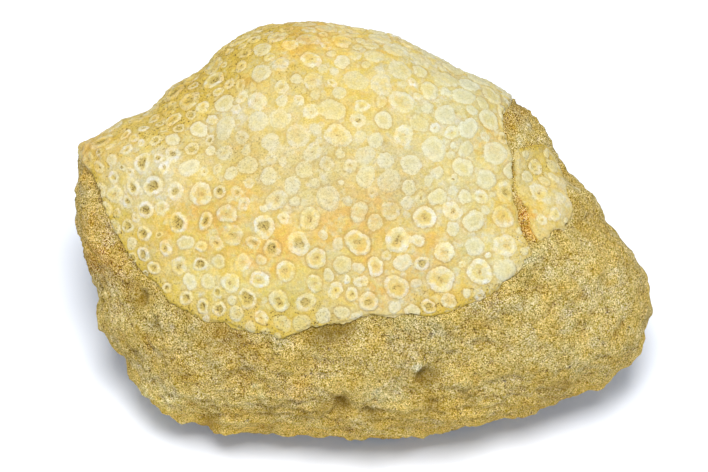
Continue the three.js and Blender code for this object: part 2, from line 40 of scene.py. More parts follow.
# Everything is worked out in millimetres, on the same skin as the solids, and made in metres.
# A chart carries the skin: a point's distance from the chart's middle is its reach round the
# lump, in radians from the middle of the face, and its direction is its bearing.
lump = {
    "faceLean": math.radians(36),  # forward, from looking straight up
    "faceBulge": 14.0,
    "backBulge": 16.0,
    "fullness": 2.25,  # 2 is an ellipsoid, and more is boxier
    "middle": (-0.06, 0.48, 15.2),
    "halfSizes": (30, 21, 14),  # across, up and out, for the direction that leads out of the skin
    "swellHeight": 0.6,
    "swells": [  # each a product of waves: how steep across, up and out, and where it starts
        [(0.21, 0, 0, 1.3), (0, 0.26, 0, -0.4)], [(0.17, 0, 0.23, 0)],
        [(0.52, -0.31, 0, 2.1), (0, 0.36, 0.47, 0.8)],
    ],
    "brokenReach": 2.1,  # where the flats of the back are whole
    "stainReach": 0.35,  # how far past the brow the face's stains go
    "chartScale": 17.0,  # millimetres to a radian, near the plate's edge
    "brow": [  # the outline square to the face: across, up
        (30.2, -7.8), (29.7, -5.6), (28.3, -2.5), (25.5, 0.6), (24.4, 3.3), (22.9, 4.8),
        (21.3, 6.4), (20.1, 8.4), (19.7, 9.6), (17.4, 11.7), (16.3, 12.8), (15.3, 14),
        (13.4, 15.3), (10, 16.7), (6, 18.9), (3, 20.3), (-1, 21.1), (-5.2, 21.7), (-8.6, 21.5),
        (-11.3, 20.9), (-13, 20.1), (-15, 18.7), (-16.4, 17.2), (-18.2, 15.9), (-19.8, 15),
        (-21.3, 13.5), (-22.9, 12.2), (-25.3, 11.4), (-27.7, 9.8), (-29.6, 8.8), (-29.8, 6),
        (-30.1, 2.4), (-29.5, -1.6), (-28.8, -4.2), (-28.3, -5.8), (-27.8, -7), (-27.8, -9.8),
        (-26.7, -11.7), (-25.1, -13.2), (-24.1, -15.4), (-23.1, -17.2), (-21.4, -18.8),
        (-19.6, -19.7), (-17.4, -19.9), (-15.6, -20.9), (-11, -20.9), (-5, -21.5), (1, -21.8),
        (7, -21.3), (13, -20.2), (19.2, -18.4), (24.3, -16.3), (26.9, -14.7), (28.5, -13.3),
        (29.4, -11.3), (30.1, -9.2),
    ],
    "breaks": [  # flats of the broken back: what each faces, and its distance from the middle
        ((-0.35, 0.62, -0.7), 15.2), ((0.45, 0.42, -0.79), 14.6), ((-0.72, -0.1, -0.69), 20.5),
        ((0.78, -0.35, -0.52), 21.5), ((0.08, -0.1, -0.99), 15.0),
    ],
}


def unit(direction):
    return direction / np.linalg.norm(direction)


def smooth(value, low, high):  # rises from 0 to 1 between two values
    t = np.clip((value - low) / (high - low), 0, 1)
    return t * t * (3 - 2 * t)


def atLeast(least, share):  # a share that never falls under the least
    return least + (1 - least) * share


def browRadius(bearing):  # a smooth closed curve through the outline's points
    points = np.array(lump["brow"])
    angles = np.arctan2(points[:, 1], points[:, 0])
    order = np.argsort(angles)
    angles, radii = angles[order], np.hypot(*points[order].T)
    angles = np.concatenate([[angles[-1] - turn], angles, angles[:2] + turn])
    radii = np.concatenate([radii[-1:], radii, radii[:2]])
    around = (bearing - angles[1]) % turn + angles[1]
    i = np.clip(np.searchsorted(angles, around, side="right") - 1, 1, len(angles) - 3)
    span = angles[i + 1] - angles[i]
    t = (around - angles[i]) / span
    leave = span * (radii[i + 1] - radii[i - 1]) / (angles[i + 1] - angles[i - 1])
    arrive = span * (radii[i + 2] - radii[i]) / (angles[i + 2] - angles[i])
    held = radii[i] * (1 + 2 * t) * (1 - t) ** 2 + radii[i + 1] * (3 - 2 * t) * t * t
    return held + leave * t * (1 - t) ** 2 - arrive * (1 - t) * t * t


def skinInFace(chart, lift):  # across, up and out of the face
    bearing = np.arctan2(chart[:, 1], chart[:, 0])
    reach = np.minimum(np.hypot(chart[:, 0], chart[:, 1]), math.pi)
    power = 2 / lump["fullness"]
    spread = browRadius(bearing) * np.sin(reach) ** power
    bulge = np.where(np.cos(reach) < 0, -lump["backBulge"], lump["faceBulge"])
    depth = bulge * np.abs(np.cos(reach)) ** power
    p = np.stack([spread * np.cos(bearing), spread * np.sin(bearing), depth], axis=1)
    whole = smooth(reach, math.pi / 2, lump["brokenReach"])
    for facing, distance in lump["breaks"]:
        square = unit(np.array(facing))
        past = np.maximum(p @ square - distance, 0) * whole
        p -= past[:, None] * square
    out = p / np.array(lump["halfSizes"])
    out /= np.linalg.norm(out, axis=1)[:, None]
    x, y, z = p.T
    swell = 0
    for waves in lump["swells"]:
        swell += math.prod(np.sin(a * x + b * y + c * z + start) for a, b, c, start in waves)
    swell *= 0.5 * lump["swellHeight"]
    return p + (lift + swell * np.abs(np.cos(reach)))[:, None] * out


def skin(chart, lift=0.0):  # the lump as it lies, with each point lifted off the skin
    chart = np.asarray(chart, float).reshape(-1, 2)
    across, up, out = skinInFace(chart, np.broadcast_to(lift, len(chart))).T
    cosine, sine = math.cos(lump["faceLean"]), math.sin(lump["faceLean"])
    tilted = np.stack([across, up * cosine - out * sine, up * sine + out * cosine], axis=1)
    return tilted + lump["middle"]


def chartOfFace(points):  # from distances across and up the face
    across, up = np.array(points, float).reshape(-1, 2).T
    bearing = np.arctan2(up, across)
    share = np.minimum(np.hypot(across, up) / browRadius(bearing), 1)
    reach = np.arcsin(share ** (lump["fullness"] / 2))
    return np.stack([reach * np.cos(bearing), reach * np.sin(bearing)], axis=1)


def chartOfBearing(points):  # from bearing and reach in degrees
    bearing, reach = np.radians(np.array(points, float)).T
    return np.stack([reach * np.cos(bearing), reach * np.sin(bearing)], axis=1)


def outside(edge, points):  # how far points are outside an edge, or, below zero, inside it
    nearest = np.full(len(points), np.inf)
    within = np.zeros(len(points), bool)
    for a, b in zip(edge, np.roll(edge, -1, axis=0)):
        along, to = b - a, points - a
        share = np.clip(to @ along / (along @ along), 0, 1)
        nearest = np.minimum(nearest, np.linalg.norm(to - share[:, None] * along, axis=1))
        if a[1] != b[1]:
            crosses = (a[1] > points[:, 1]) != (b[1] > points[:, 1])
            within ^= crosses & (to[:, 0] < along[0] * to[:, 1] / along[1])
    return np.where(within, -nearest, nearest) * lump["chartScale"]


def roughness(points, size, seed):  # smooth noise from -1 to 1, in lumps of a size
    return np.array([noise.noise(Vector(p)) for p in points / size + seed])


def dents(points, deep, size, seed, least, whole):
    return deep * smooth(roughness(points, size, seed), least, whole)


def layered(points, layers):  # a sum of roughness: how high, the size of its lumps, seed
    return sum(height * roughness(points, size, seed) for height, size, seed in layers)


# The two parts of the plate, with places in millimetres across and up from the face's middle
mainPlate = {
    "name": "toothPlate",
    "node": "tooth_plate",
    "seed": 7,
    "middle": (-4.0, 5.0),
    "gridSide": 290,
    "cutTeeth": True,  # the broken edge runs through teeth
    "edgeOnFace": [
        (-29.2, 7), (-28.1, 6), (-27.2, 3.9), (-26.7, 1.7), (-25.7, -0.6), (-24.6, -2.6),
        (-23, -4.5), (-21.2, -6), (-20, -7.5), (-18, -8.5), (-16.6, -9.4), (-14, -9.5),
        (-12.3, -10.2), (-10.3, -10.4), (-8.6, -11), (-7, -10.6), (-5.6, -9.8), (-4.4, -9.9),
        (-1.6, -9.4), (0.6, -8.7), (2.4, -9), (5, -8.9), (7, -9.1), (9.4, -8.4), (11.2, -7.3),
        (13.2, -6.3), (14.4, -5.2), (15.7, -3.7), (17.2, -2.3), (16.7, -0.9), (16, 0.4),
        (15.6, 2.6), (15.6, 5), (15.45, 7), (14.9, 9.4), (14.5, 12.1),
    ],
    "edgeBehind": [  # bearing and reach in degrees
        (41, 88), (47, 99), (56, 103), (64, 101), (73, 108), (84, 111), (93, 108), (103, 114),
        (113, 116), (122, 111), (131, 112), (140, 105), (148, 106), (156, 99), (162, 96),
    ],
    "teeth": [  # the ones that catch the eye: across, up, radius, how hollow
        (8, -5.2, 1.42, 0.6), (3.35, -5.9, 1.28, 0.6), (0.5, -7.3, 1.05, 0.7),
        (6, -3.5, 0.8, 0.9), (8.3, -2.3, 1.06, 0.45), (-0.3, -5.3, 0.72, 0.4),
        (10.1, -3.6, 0.42, 0.6), (9.1, 0.1, 0.75, 0.2), (6.7, -8, 0.8, 0.9),
        (11.8, -4.3, 1.34, 0.45), (14.4, -1.6, 1.24, 0.45), (3.5, -1.1, 1.34, 0.7),
        (-0.6, -1.3, 1.34, 0.6), (6.3, 1.3, 1.22, 0.6), (2.7, 1.9, 1.02, 0.4),
        (11.2, 0.9, 1.12, 0.2), (10.4, 3.4, 0.76, 0), (7.6, 3.4, 0.95, 0), (10.3, 6.5, 1.12, 0.2),
        (7.6, 5.9, 0.7, 0), (7.2, 8.3, 1.34, 0), (4.1, 9.7, 1.1, 0.4), (13.6, 8, 1.36, 0),
        (10.8, 10.5, 1.14, 0), (10.3, 13.8, 1.24, 0), (8.4, 11.9, 1.2, 0), (13, 11.5, 1.24, 0),
        (3.9, 13.1, 1.38, 0.35), (2, 11.1, 1, 0), (5.8, 16.3, 0.86, 0), (6.8, 14.4, 1.1, 0),
        (-0.2, 12.4, 0.8, 0.6), (-6.6, 13.2, 0.6, 0.5), (-5.4, 17.4, 1.06, 0.45),
        (-3.8, 19, 0.68, 0.5), (1.1, 17.8, 1.02, 0.2), (-2.6, 9.4, 1.32, 0.5),
        (-6.7, 9.5, 1.3, 0.35), (-9.5, 8.9, 1, 0.2), (-14.2, 10.5, 1.2, 0.2),
        (-10.7, 11, 1.1, 0.1), (-3.7, 6.6, 0.8, 0.6), (0.2, 5.3, 1.1, 0.1),
        (-9.6, 5.4, 0.95, 0.2), (-3.6, 3.2, 1.28, 0.1), (-7.2, 4.5, 0.9, 0), (-0.5, 1.8, 1, 0.1),
        (-5.5, 1.1, 1.16, 0.6), (-10, 0.3, 1.16, 0.9), (-6.6, -1.4, 1.24, 0.8),
        (-9.2, -1.9, 0.96, 1), (-7.8, -4.1, 1.06, 0.6), (-3.6, -4.6, 0.66, 0),
        (-4.8, -2.9, 1.1, 0.5), (-5.9, -7.4, 1.02, 0.85), (-8.5, -7.1, 1.12, 0.7),
        (-11.6, -6.8, 1.04, 1), (-13.4, -5.3, 1.08, 0.35), (-10.4, -4.9, 1, 0.45),
        (-16.1, 0.9, 0.88, 0.8), (-19, 0.7, 1.1, 1), (-13.8, 1.6, 1.08, 0.45),
        (-18.1, -1.3, 0.88, 0), (-22.7, 6.9, 1.08, 0.9), (-20.4, 6.4, 0.66, 0.7),
        (-23.7, 4.4, 0.9, 0.8), (-21.6, 4.5, 1.1, 0.9), (-19.4, 4, 0.93, 0.8),
        (-25.7, 5.4, 0.72, 0.7), (-16.8, 3.7, 1.24, 0.45), (-22.4, 2.1, 0.9, 1),
        (-22.7, -0.4, 0.84, 1), (-24.5, 0.4, 0.76, 1), (-22.7, -2.5, 0.8, 1),
        (-16.7, -3.5, 0.8, 1), (-18.8, -3.7, 0.96, 0.7), (-18.2, -7, 0.78, 0.9),
        (-16.4, -7.8, 0.78, 0.9), (-14.6, -8, 0.8, 1), (-18, 6.4, 1.05, 0),
        (-13.6, 5.8, 0.78, 0.1), (-8.2, -9.4, 0.9, 0.35), (-5.6, 20.6, 0.8, 0.6),
        (-10.4, 15.8, 1.15, 0.1), (1.2, -3.8, 0.95, 0.5), (-2.2, -3.6, 1, 0.1),
        (4, -3.4, 0.95, 0.1), (5.4, -5.6, 0.55, 0), (3.2, -8, 0.68, 0), (10.5, -6.5, 0.5, 0),
        (11.3, -1.7, 1, 0.1), (12.7, -2.6, 0.4, 0.3), (16.3, -2.2, 0.5, 0),
        (14.3, 1.3, 1.2, 0.35), (12.6, 5.2, 1.1, 0.1), (13.2, 3.6, 0.35, 0), (9.2, 8.7, 0.4, 0),
        (4.8, 6.6, 1.1, 0.2), (4.6, 4.3, 0.8, 0.2), (2.2, 7, 0.9, 0.1), (1.2, 9, 0.85, 0.1),
        (-3.3, 15.1, 0.55, 0.7), (-8.3, 14.4, 0.8, 0.7), (-13.8, 15, 0.7, 0.7),
        (-12.6, 16.8, 0.75, 0.5), (-14.4, 17.1, 0.45, 0.9), (-10.4, 18.5, 1.1, 0.2),
        (-9.9, 20.4, 0.55, 0.8), (-7.5, 18.8, 0.9, 0.4), (-12.6, 19, 0.55, 0.7),
        (-0.3, 19.6, 0.6, 0), (-2.2, 17.3, 0.9, 0.2), (-6.9, 15.3, 0.65, 0),
        (-14.3, 13, 1.1, 0.1), (-12.4, 13.5, 0.7, 0.5), (-17.6, 14.9, 0.7, 0.9),
        (-19.6, 11.4, 0.9, 0.7), (-16.6, 12.7, 0.8, 0.6), (-17, 10.4, 1, 0.1),
        (-21.7, 11.5, 0.8, 0.6), (-22.8, 10.5, 0.6, 0.6), (-24.6, 9.9, 0.7, 0.6),
        (-19.6, 9.3, 0.85, 0.1), (-21.4, 9.2, 0.7, 0.8), (-22.9, 9, 0.5, 0.6),
        (-24.4, 8.3, 0.75, 0.6), (-25.9, 7.2, 0.7, 0.2), (-27.2, 8, 0.5, 0.9),
        (-24.8, 6.4, 0.4, 0.9), (-17.7, 8.4, 0.8, 0.85), (-15.8, 8.2, 0.6, 0.2),
        (-15.1, 6.3, 0.6, 0.35), (-8.2, 6.9, 0.55, 0), (-11.6, 4.7, 0.6, 0.35), (-7, 2.9, 0.6, 0),
        (-10, 2.1, 0.45, 0), (-5, 4.7, 0.6, 0), (-2.3, 4.8, 0.35, 0), (-12, 8.2, 0.6, 0.35),
        (-8.1, 1.2, 0.65, 0.4), (-12, 2.6, 0.75, 0.5), (-4.1, -0.5, 0.55, 0),
        (-12.2, -3.3, 0.95, 0.45), (-14.9, -1.3, 0.8, 0.6), (-14.7, -3.2, 0.8, 0.2),
        (-16.5, -1.7, 0.65, 0.5), (-20.2, -1.9, 0.8, 0.7), (-21, -0.5, 0.4, 0.9),
        (-21.5, -3.9, 0.8, 0.7), (-24.1, -1.4, 0.7, 0.1), (-20.2, -6, 0.6, 0.8),
        (-17.8, -5.3, 0.85, 0), (-15.9, -5.3, 0.85, 0.2), (-12.8, -8.4, 0.85, 0.35),
        (-10.3, -8.8, 0.8, 0.4), (-5, -5.5, 0.9, 0.5), (-2.9, -6.2, 0.85, 0.5),
        (-1.7, -5.1, 0.45, 0.35), (-4.1, -8.7, 0.85, 0), (-2.2, -8.4, 0.8, 0),
    ],
}
partedStrip = {
    "name": "partedStrip",
    "node": "parted_strip",
    "seed": 11,
    "middle": (18.3, 4.6),
    "gridSide": 100,
    "cutTeeth": False,
    "edgeOnFace": [
        (15.7, 8.4), (15.8, 6.6), (15.9, 5), (16.2, 3.9), (16.8, 2.6), (17.3, 1), (17.4, -0.1),
        (18, -1.1), (18.9, -0.9), (19.8, 0.1), (20.9, 0.1), (21.6, 1.1), (21.8, 2.1), (21.3, 3.4),
        (21.1, 5), (20.7, 6.1), (20, 7.5), (19.5, 8.8), (18, 9), (16.7, 8.7),
    ],
    "edgeBehind": [],
    "teeth": [
        (18.2, 3.9, 1.1, 0.4), (17.9, 6.6, 0.95, 0.35), (19.7, 5.4, 0.7, 0.1),
        (20.3, 3.4, 0.7, 0.1), (19.7, 1.6, 0.75, 0.4), (20.9, 0.9, 0.42, 0),
        (16.8, 7.8, 0.5, 0.1), (19, 8, 0.6, 0.2), (18.3, 1, 0.6, 0.5),
    ],
}
for plate in (mainPlate, partedStrip):
    plate["edge"] = chartOfFace(plate["edgeOnFace"])
    if plate["edgeBehind"]:
        plate["edge"] = np.concatenate([plate["edge"], chartOfBearing(plate["edgeBehind"])])
    plate["chartMiddle"] = chartOfFace([plate["middle"]])[0]

packing = {
    "sizes": [(1.16, 34), (1.0, 60), (0.84, 90), (0.68, 70)],  # least radius and rounds
    "edgeClearance": 0.55,
    "lateSizes": [  # least radius, rounds, how far over the edge, and how far from it they grow
        (0.8, 150, 0.7, 1.5), (0.6, 150, 0.45, 1.5), (0.45, 120, 0.3, 1.5), (0.52, 170, 0.0, 60.0),
    ],
    "leastInside": 0.15,
    "placesTried": 40,
    "largest": 1.3,
    "clearance": 0.05,
    "mostOval": 0.16,
    "pittedEnd": -0.45,  # across the chart, and left of it most teeth are hollow
    "leastPitted": 0.35,
    "mostElsewhere": 0.75,
}


def numbersFrom(seed):  # a repeatable stream from 0 to 1
    state = seed
    while True:
        state = (state * 1664525 + 1013904223) & 0xFFFFFFFF
        yield state / 4294967296


def teethOf(plate):  # the listed teeth, and others packed between them in falling sizes
    draw = numbersFrom(plate["seed"])
    edge = plate["edge"]
    low, size = edge.min(axis=0), np.ptp(edge, axis=0)
    teeth = []

    def grow(chart, radius, hollow):
        oval = packing["mostOval"] * next(draw)
        teeth.append({"chart": chart, "radius": radius, "hollow": hollow, "oval": oval,
                      "turned": turn * next(draw), "middle": skin(chart)[0]})

    for across, up, radius, hollow in plate["teeth"]:
        grow(chartOfFace([(across, up)])[0], radius, hollow)
    inner = -packing["edgeClearance"]
    sizes = [(least, rounds, inner, math.inf) for least, rounds in packing["sizes"]]
    if plate["cutTeeth"]:
        sizes += packing["lateSizes"]
    for least, rounds, over, belt in sizes:
        for _ in range(rounds):
            drawn = [next(draw) for _ in range(2 * packing["placesTried"])]
            places = low + size * np.array(drawn).reshape(-1, 2)
            middles = np.array([tooth["middle"] for tooth in teeth])
            radii = np.array([tooth["radius"] for tooth in teeth])
            gaps = np.linalg.norm(skin(places)[:, None] - middles, axis=2) - radii
            within = -outside(edge, places)
            grows = (within > packing["leastInside"]) & (within < belt)
            toEdge = np.where(grows, within + over, -1)
            room = np.minimum(gaps.min(axis=1) - packing["clearance"], toEdge)
            hollow = next(draw)
            if room.max() <= least:
                continue
            best = np.argmin(np.where(room > least, room, np.inf))
            if places[best, 0] < packing["pittedEnd"]:
                worn = atLeast(packing["leastPitted"], hollow)
            else:
                worn = packing["mostElsewhere"] * hollow ** 2
            grow(places[best], min(room[best], packing["largest"]), worn)
    return teeth


edgeNicks = [(0.3, 1.9, 3.1), (0.26, 0.7, 8.7), (0.12, 0.3, 5.2)]  # depth, size, seed


def edgeReach(plate, bearing):  # how far a plate goes from its middle, to its nicked, broken edge
    corners = plate["edge"] - plate["chartMiddle"]
    way = np.stack([np.cos(bearing), np.sin(bearing)], axis=1)
    far = np.zeros(len(bearing))
    for p, q in zip(corners, np.roll(corners, -1, axis=0)):
        side = way[:, 0] * (q - p)[1] - way[:, 1] * (q - p)[0]
        met = (p[0] * (q - p)[1] - p[1] * (q - p)[0]) / np.where(np.abs(side) < 1e-9, 1e-9, side)
        hit = way * met[:, None]
        along = ((hit - p) @ (q - p)) / ((q - p) @ (q - p))
        far = np.where((along >= -1e-6) & (along <= 1 + 1e-6) & (met > far), met, far)
    scale = lump["chartScale"]
    ring = np.stack([way[:, 0] * far * scale, way[:, 1] * far * scale, np.zeros(len(far))], axis=1)
    return far + layered(ring, edgeNicks) / scale


def meshPiece(name, points, faces, smoothShaded=True):
    mesh = bpy.data.meshes.new(name)
    mesh.from_pydata((points * 0.001).tolist(), [], faces)
    mesh.update()
    mesh.polygons.foreach_set("use_smooth", [smoothShaded] * len(mesh.polygons))
    piece = bpy.data.objects.new(name, mesh)
    bpy.context.scene.collection.objects.link(piece)
    return piece


def joined(first, second):  # faces from one ring of points to the next
    return np.stack([first, second, np.roll(second, -1), np.roll(first, -1)], axis=1).tolist()


def capped(ring, tip):  # faces from a ring to one point
    return [(tip, b, a) for a, b in zip(ring.tolist(), np.roll(ring, -1).tolist())]


def carry(piece, name, values):  # a value for each point, for the material
    values = np.asarray(values, np.float32)
    piece.data.attributes.new(name, "FLOAT", "POINT").data.foreach_set("value", values)


def discGrid(side):  # a square grid pushed into a disc: radii, bearings, faces and its rim
    a, b = np.meshgrid(np.linspace(-1, 1, side), np.linspace(-1, 1, side))
    a, b = a.ravel(), b.ravel()
    wide = np.abs(a) > np.abs(b)
    safeA, safeB = np.where(a == 0, 1, a), np.where(b == 0, 1, b)
    radius = np.where(wide, a, b)
    bearing = np.where(wide, math.pi / 4 * b / safeA, math.pi / 2 - math.pi / 4 * a / safeB)
    bearing = np.where(radius < 0, bearing + math.pi, bearing)
    index = np.arange(side * side).reshape(side, side)
    quads = np.stack([index[:-1, :-1], index[:-1, 1:], index[1:, 1:], index[1:, :-1]], axis=-1)
    rim = np.concatenate([index[0, :-1], index[:-1, -1], index[-1, :0:-1], index[:0:-1, 0]])
    return np.abs(radius), bearing, quads.reshape(-1, 4).tolist(), rim


relief = {
    "grow": -0.03,  # of every tooth into the cement, as far as its neighbours leave room
    "halfCement": 0.04,
    "ragged": (0.07, 0.45, 6.1),  # of a tooth's rim: how much, the size of its lumps, seed
    "lobes": (0.035, 0.025),  # of its outline, three and five round it
    "listedTone": (0.55, 0.45),  # how much a tooth stands out: least, and the most added
    "otherTone": (0.25, 0.55),
    "leastRing": 0.16,  # width of the pale ring, as a share of a tooth's radius
    "moreRing": 0.14,
    "ringMargin": 0.08,
    "bevel": 0.2,
    "groove": 0.05,
    "grooveWidth": 0.08,
    "leastRise": 0.02,
    "moreRise": 0.11,
    "dish": 0.06,
    "dishShare": 0.3,  # in a tooth that isn't hollow
    "dishFrom": (0.25, 0.6),  # from the tooth's rim, as a share of its radius
    "hole": 0.14,
    "holeShare": 0.15,
    "holeFrom": (-0.05, 0.5),
    "leastPit": 0.12,  # of a tooth's radius
    "morePit": 0.46,
    "pitPower": 1.4,
    "pitWobble": (0.4, 0.5),
    "wobble": (0.5, 5.0),  # size and seed
    "leastHollow": 0.3,  # that has a pit at all
    "slit": 0.75,  # how narrow the pit of a hardly worn tooth is
    "slitWorn": (0.5, 0.95),
    "cement": (0.06, 0.9, 2.2),
    "surface": [(0.04, 0.4, 7.7), (0.1, 3.0, 1.2)],
    "crust": (0.14, 0.55, 3.9),  # of the sand that sticks to the brow
    "crustReach": (0.95, 1.3),
    "plateThickness": 1.5,
    "edgeRounding": 0.35,
    "edgeDrop": 0.22,
    "wall": [(-0.35, 0.05), (-0.75, 0.0)],  # the broken edge's rings: how high, how far out
    "wallFoot": -0.02,
    "wallFollows": 0.2,  # share of the top's relief
    "crumble": (0.05, 0.5, 4.4),
    "underside": (0.8, 0.6, 0.4, 0.2),  # its rings, in to the middle
    "evened": 29,  # how many of the edge's degrees the grid inside it follows the mean of
}


def toothRelief(points, teeth, listed, draw):  # heights, and what the material is told
    # Gaps to the nearest two teeth's rims, and of the nearest: which it is, and how far out from
    # its middle a point lies, in a round and in a narrowed measure
    first, second, radial, slit = np.full((4, len(points)), 9.0)
    owner = np.zeros(len(points), int)
    drawn = []
    for number, tooth in enumerate(teeth):
        tone, tint, rise, shape = next(draw), next(draw), next(draw), next(draw)
        least, more = relief["listedTone" if number < listed else "otherTone"]
        ring = (relief["leastRing"] + relief["moreRing"] * shape) * tooth["radius"]
        drawn.append((least + more * tone, tint, rise, ring + relief["ringMargin"]))
        away = np.linalg.norm(points - tooth["middle"], axis=1)
        near = np.flatnonzero(away < 1.9 * tooth["radius"] + 0.6)
        around = skin(tooth["chart"] + 0.02 * np.array([(1, 0), (-1, 0), (0, 1), (0, -1)]))
        east = unit(around[0] - around[1])
        out = unit(np.cross(east, around[2] - around[3]))
        to = points[near] - tooth["middle"]
        x, y = to @ east, to @ np.cross(out, east)
        angle = np.arctan2(y, x)
        outline = 1 + tooth["oval"] * np.cos(2 * (angle - tooth["turned"]))
        three, five = relief["lobes"]
        outline += three * np.sin(3 * angle + turn * shape) + five * np.sin(5 * angle + turn * tint)
        spread = np.hypot(x, y)
        gap = spread - tooth["radius"] * outline
        nearer = gap < first[near]
        second[near] = np.where(nearer, first[near], np.minimum(second[near], gap))
        first[near] = np.where(nearer, gap, first[near])
        owner[near] = np.where(nearer, number, owner[near])
        share = spread / (tooth["radius"] * outline)
        radial[near] = np.where(nearer, share, radial[near])
        narrow = relief["slit"] * (1 - smooth(tooth["hollow"], *relief["slitWorn"]))
        share = share * (1 + narrow * np.sin(angle + turn * rise) ** 2)
        slit[near] = np.where(nearer, share, slit[near])
    tone, tint, rise, rimWide = np.array(drawn)[owner].T
    hollows = np.array([tooth["hollow"] for tooth in teeth])[owner]
    inside = np.minimum(relief["grow"] - first, (second - first) / 2 - relief["halfCement"])
    inside += layered(points, [relief["ragged"]])
    least, more = relief["pitWobble"]
    wobble = (least + more * (1 - hollows)) * roughness(points, *relief["wobble"])
    pitSize = relief["leastPit"] + relief["morePit"] * hollows ** relief["pitPower"]
    pit = 1 - slit / pitSize + wobble
    pit = np.where(hollows > relief["leastHollow"], pit, -1.0)
    rise = (relief["leastRise"] + relief["moreRise"] * rise) * smooth(inside, 0, relief["bevel"])
    groove = relief["groove"] * np.exp(-((inside - relief["grow"]) / relief["grooveWidth"]) ** 2)
    dish = relief["dish"] * smooth(1 - radial, *relief["dishFrom"])
    dish = dish * atLeast(relief["dishShare"], hollows)
    hole = relief["hole"] * atLeast(relief["holeShare"], hollows)
    hole = hole * smooth(pit, *relief["holeFrom"])
    cement = layered(points, [relief["cement"]]) * (1 - smooth(inside, 0, relief["bevel"]))
    height = rise - groove - np.where(inside > 0, dish + hole, 0) + cement
    height += layered(points, relief["surface"])
    return height, {
        "inside": inside, "pit": pit, "tone": tone, "tint": tint, "rimWide": rimWide,
        "hollow": hollows,
    }


def facePlaces(chart, furthest=math.pi):  # across, up, and whether a point is well onto the back
    reach = np.minimum(np.hypot(*chart.T), furthest)
    bearing = np.arctan2(chart[:, 1], chart[:, 0])
    spread = browRadius(bearing) * np.sin(reach) ** (2 / lump["fullness"])
    behind = reach > math.pi / 2 + lump["stainReach"]
    return spread * np.cos(bearing), spread * np.sin(bearing), behind


def paintStains(piece, chart, stains, furthest=math.pi):  # each stain is round and fades out
    across, up, behind = facePlaces(chart, furthest)
    for name, spots in stains.items():
        clear = np.ones(len(chart))
        for x, y, radius, strength in spots:
            clear *= 1 - strength * np.exp(-((across - x) ** 2 + (up - y) ** 2) / radius ** 2)
        carry(piece, name, np.where(behind, 0, 1 - clear))


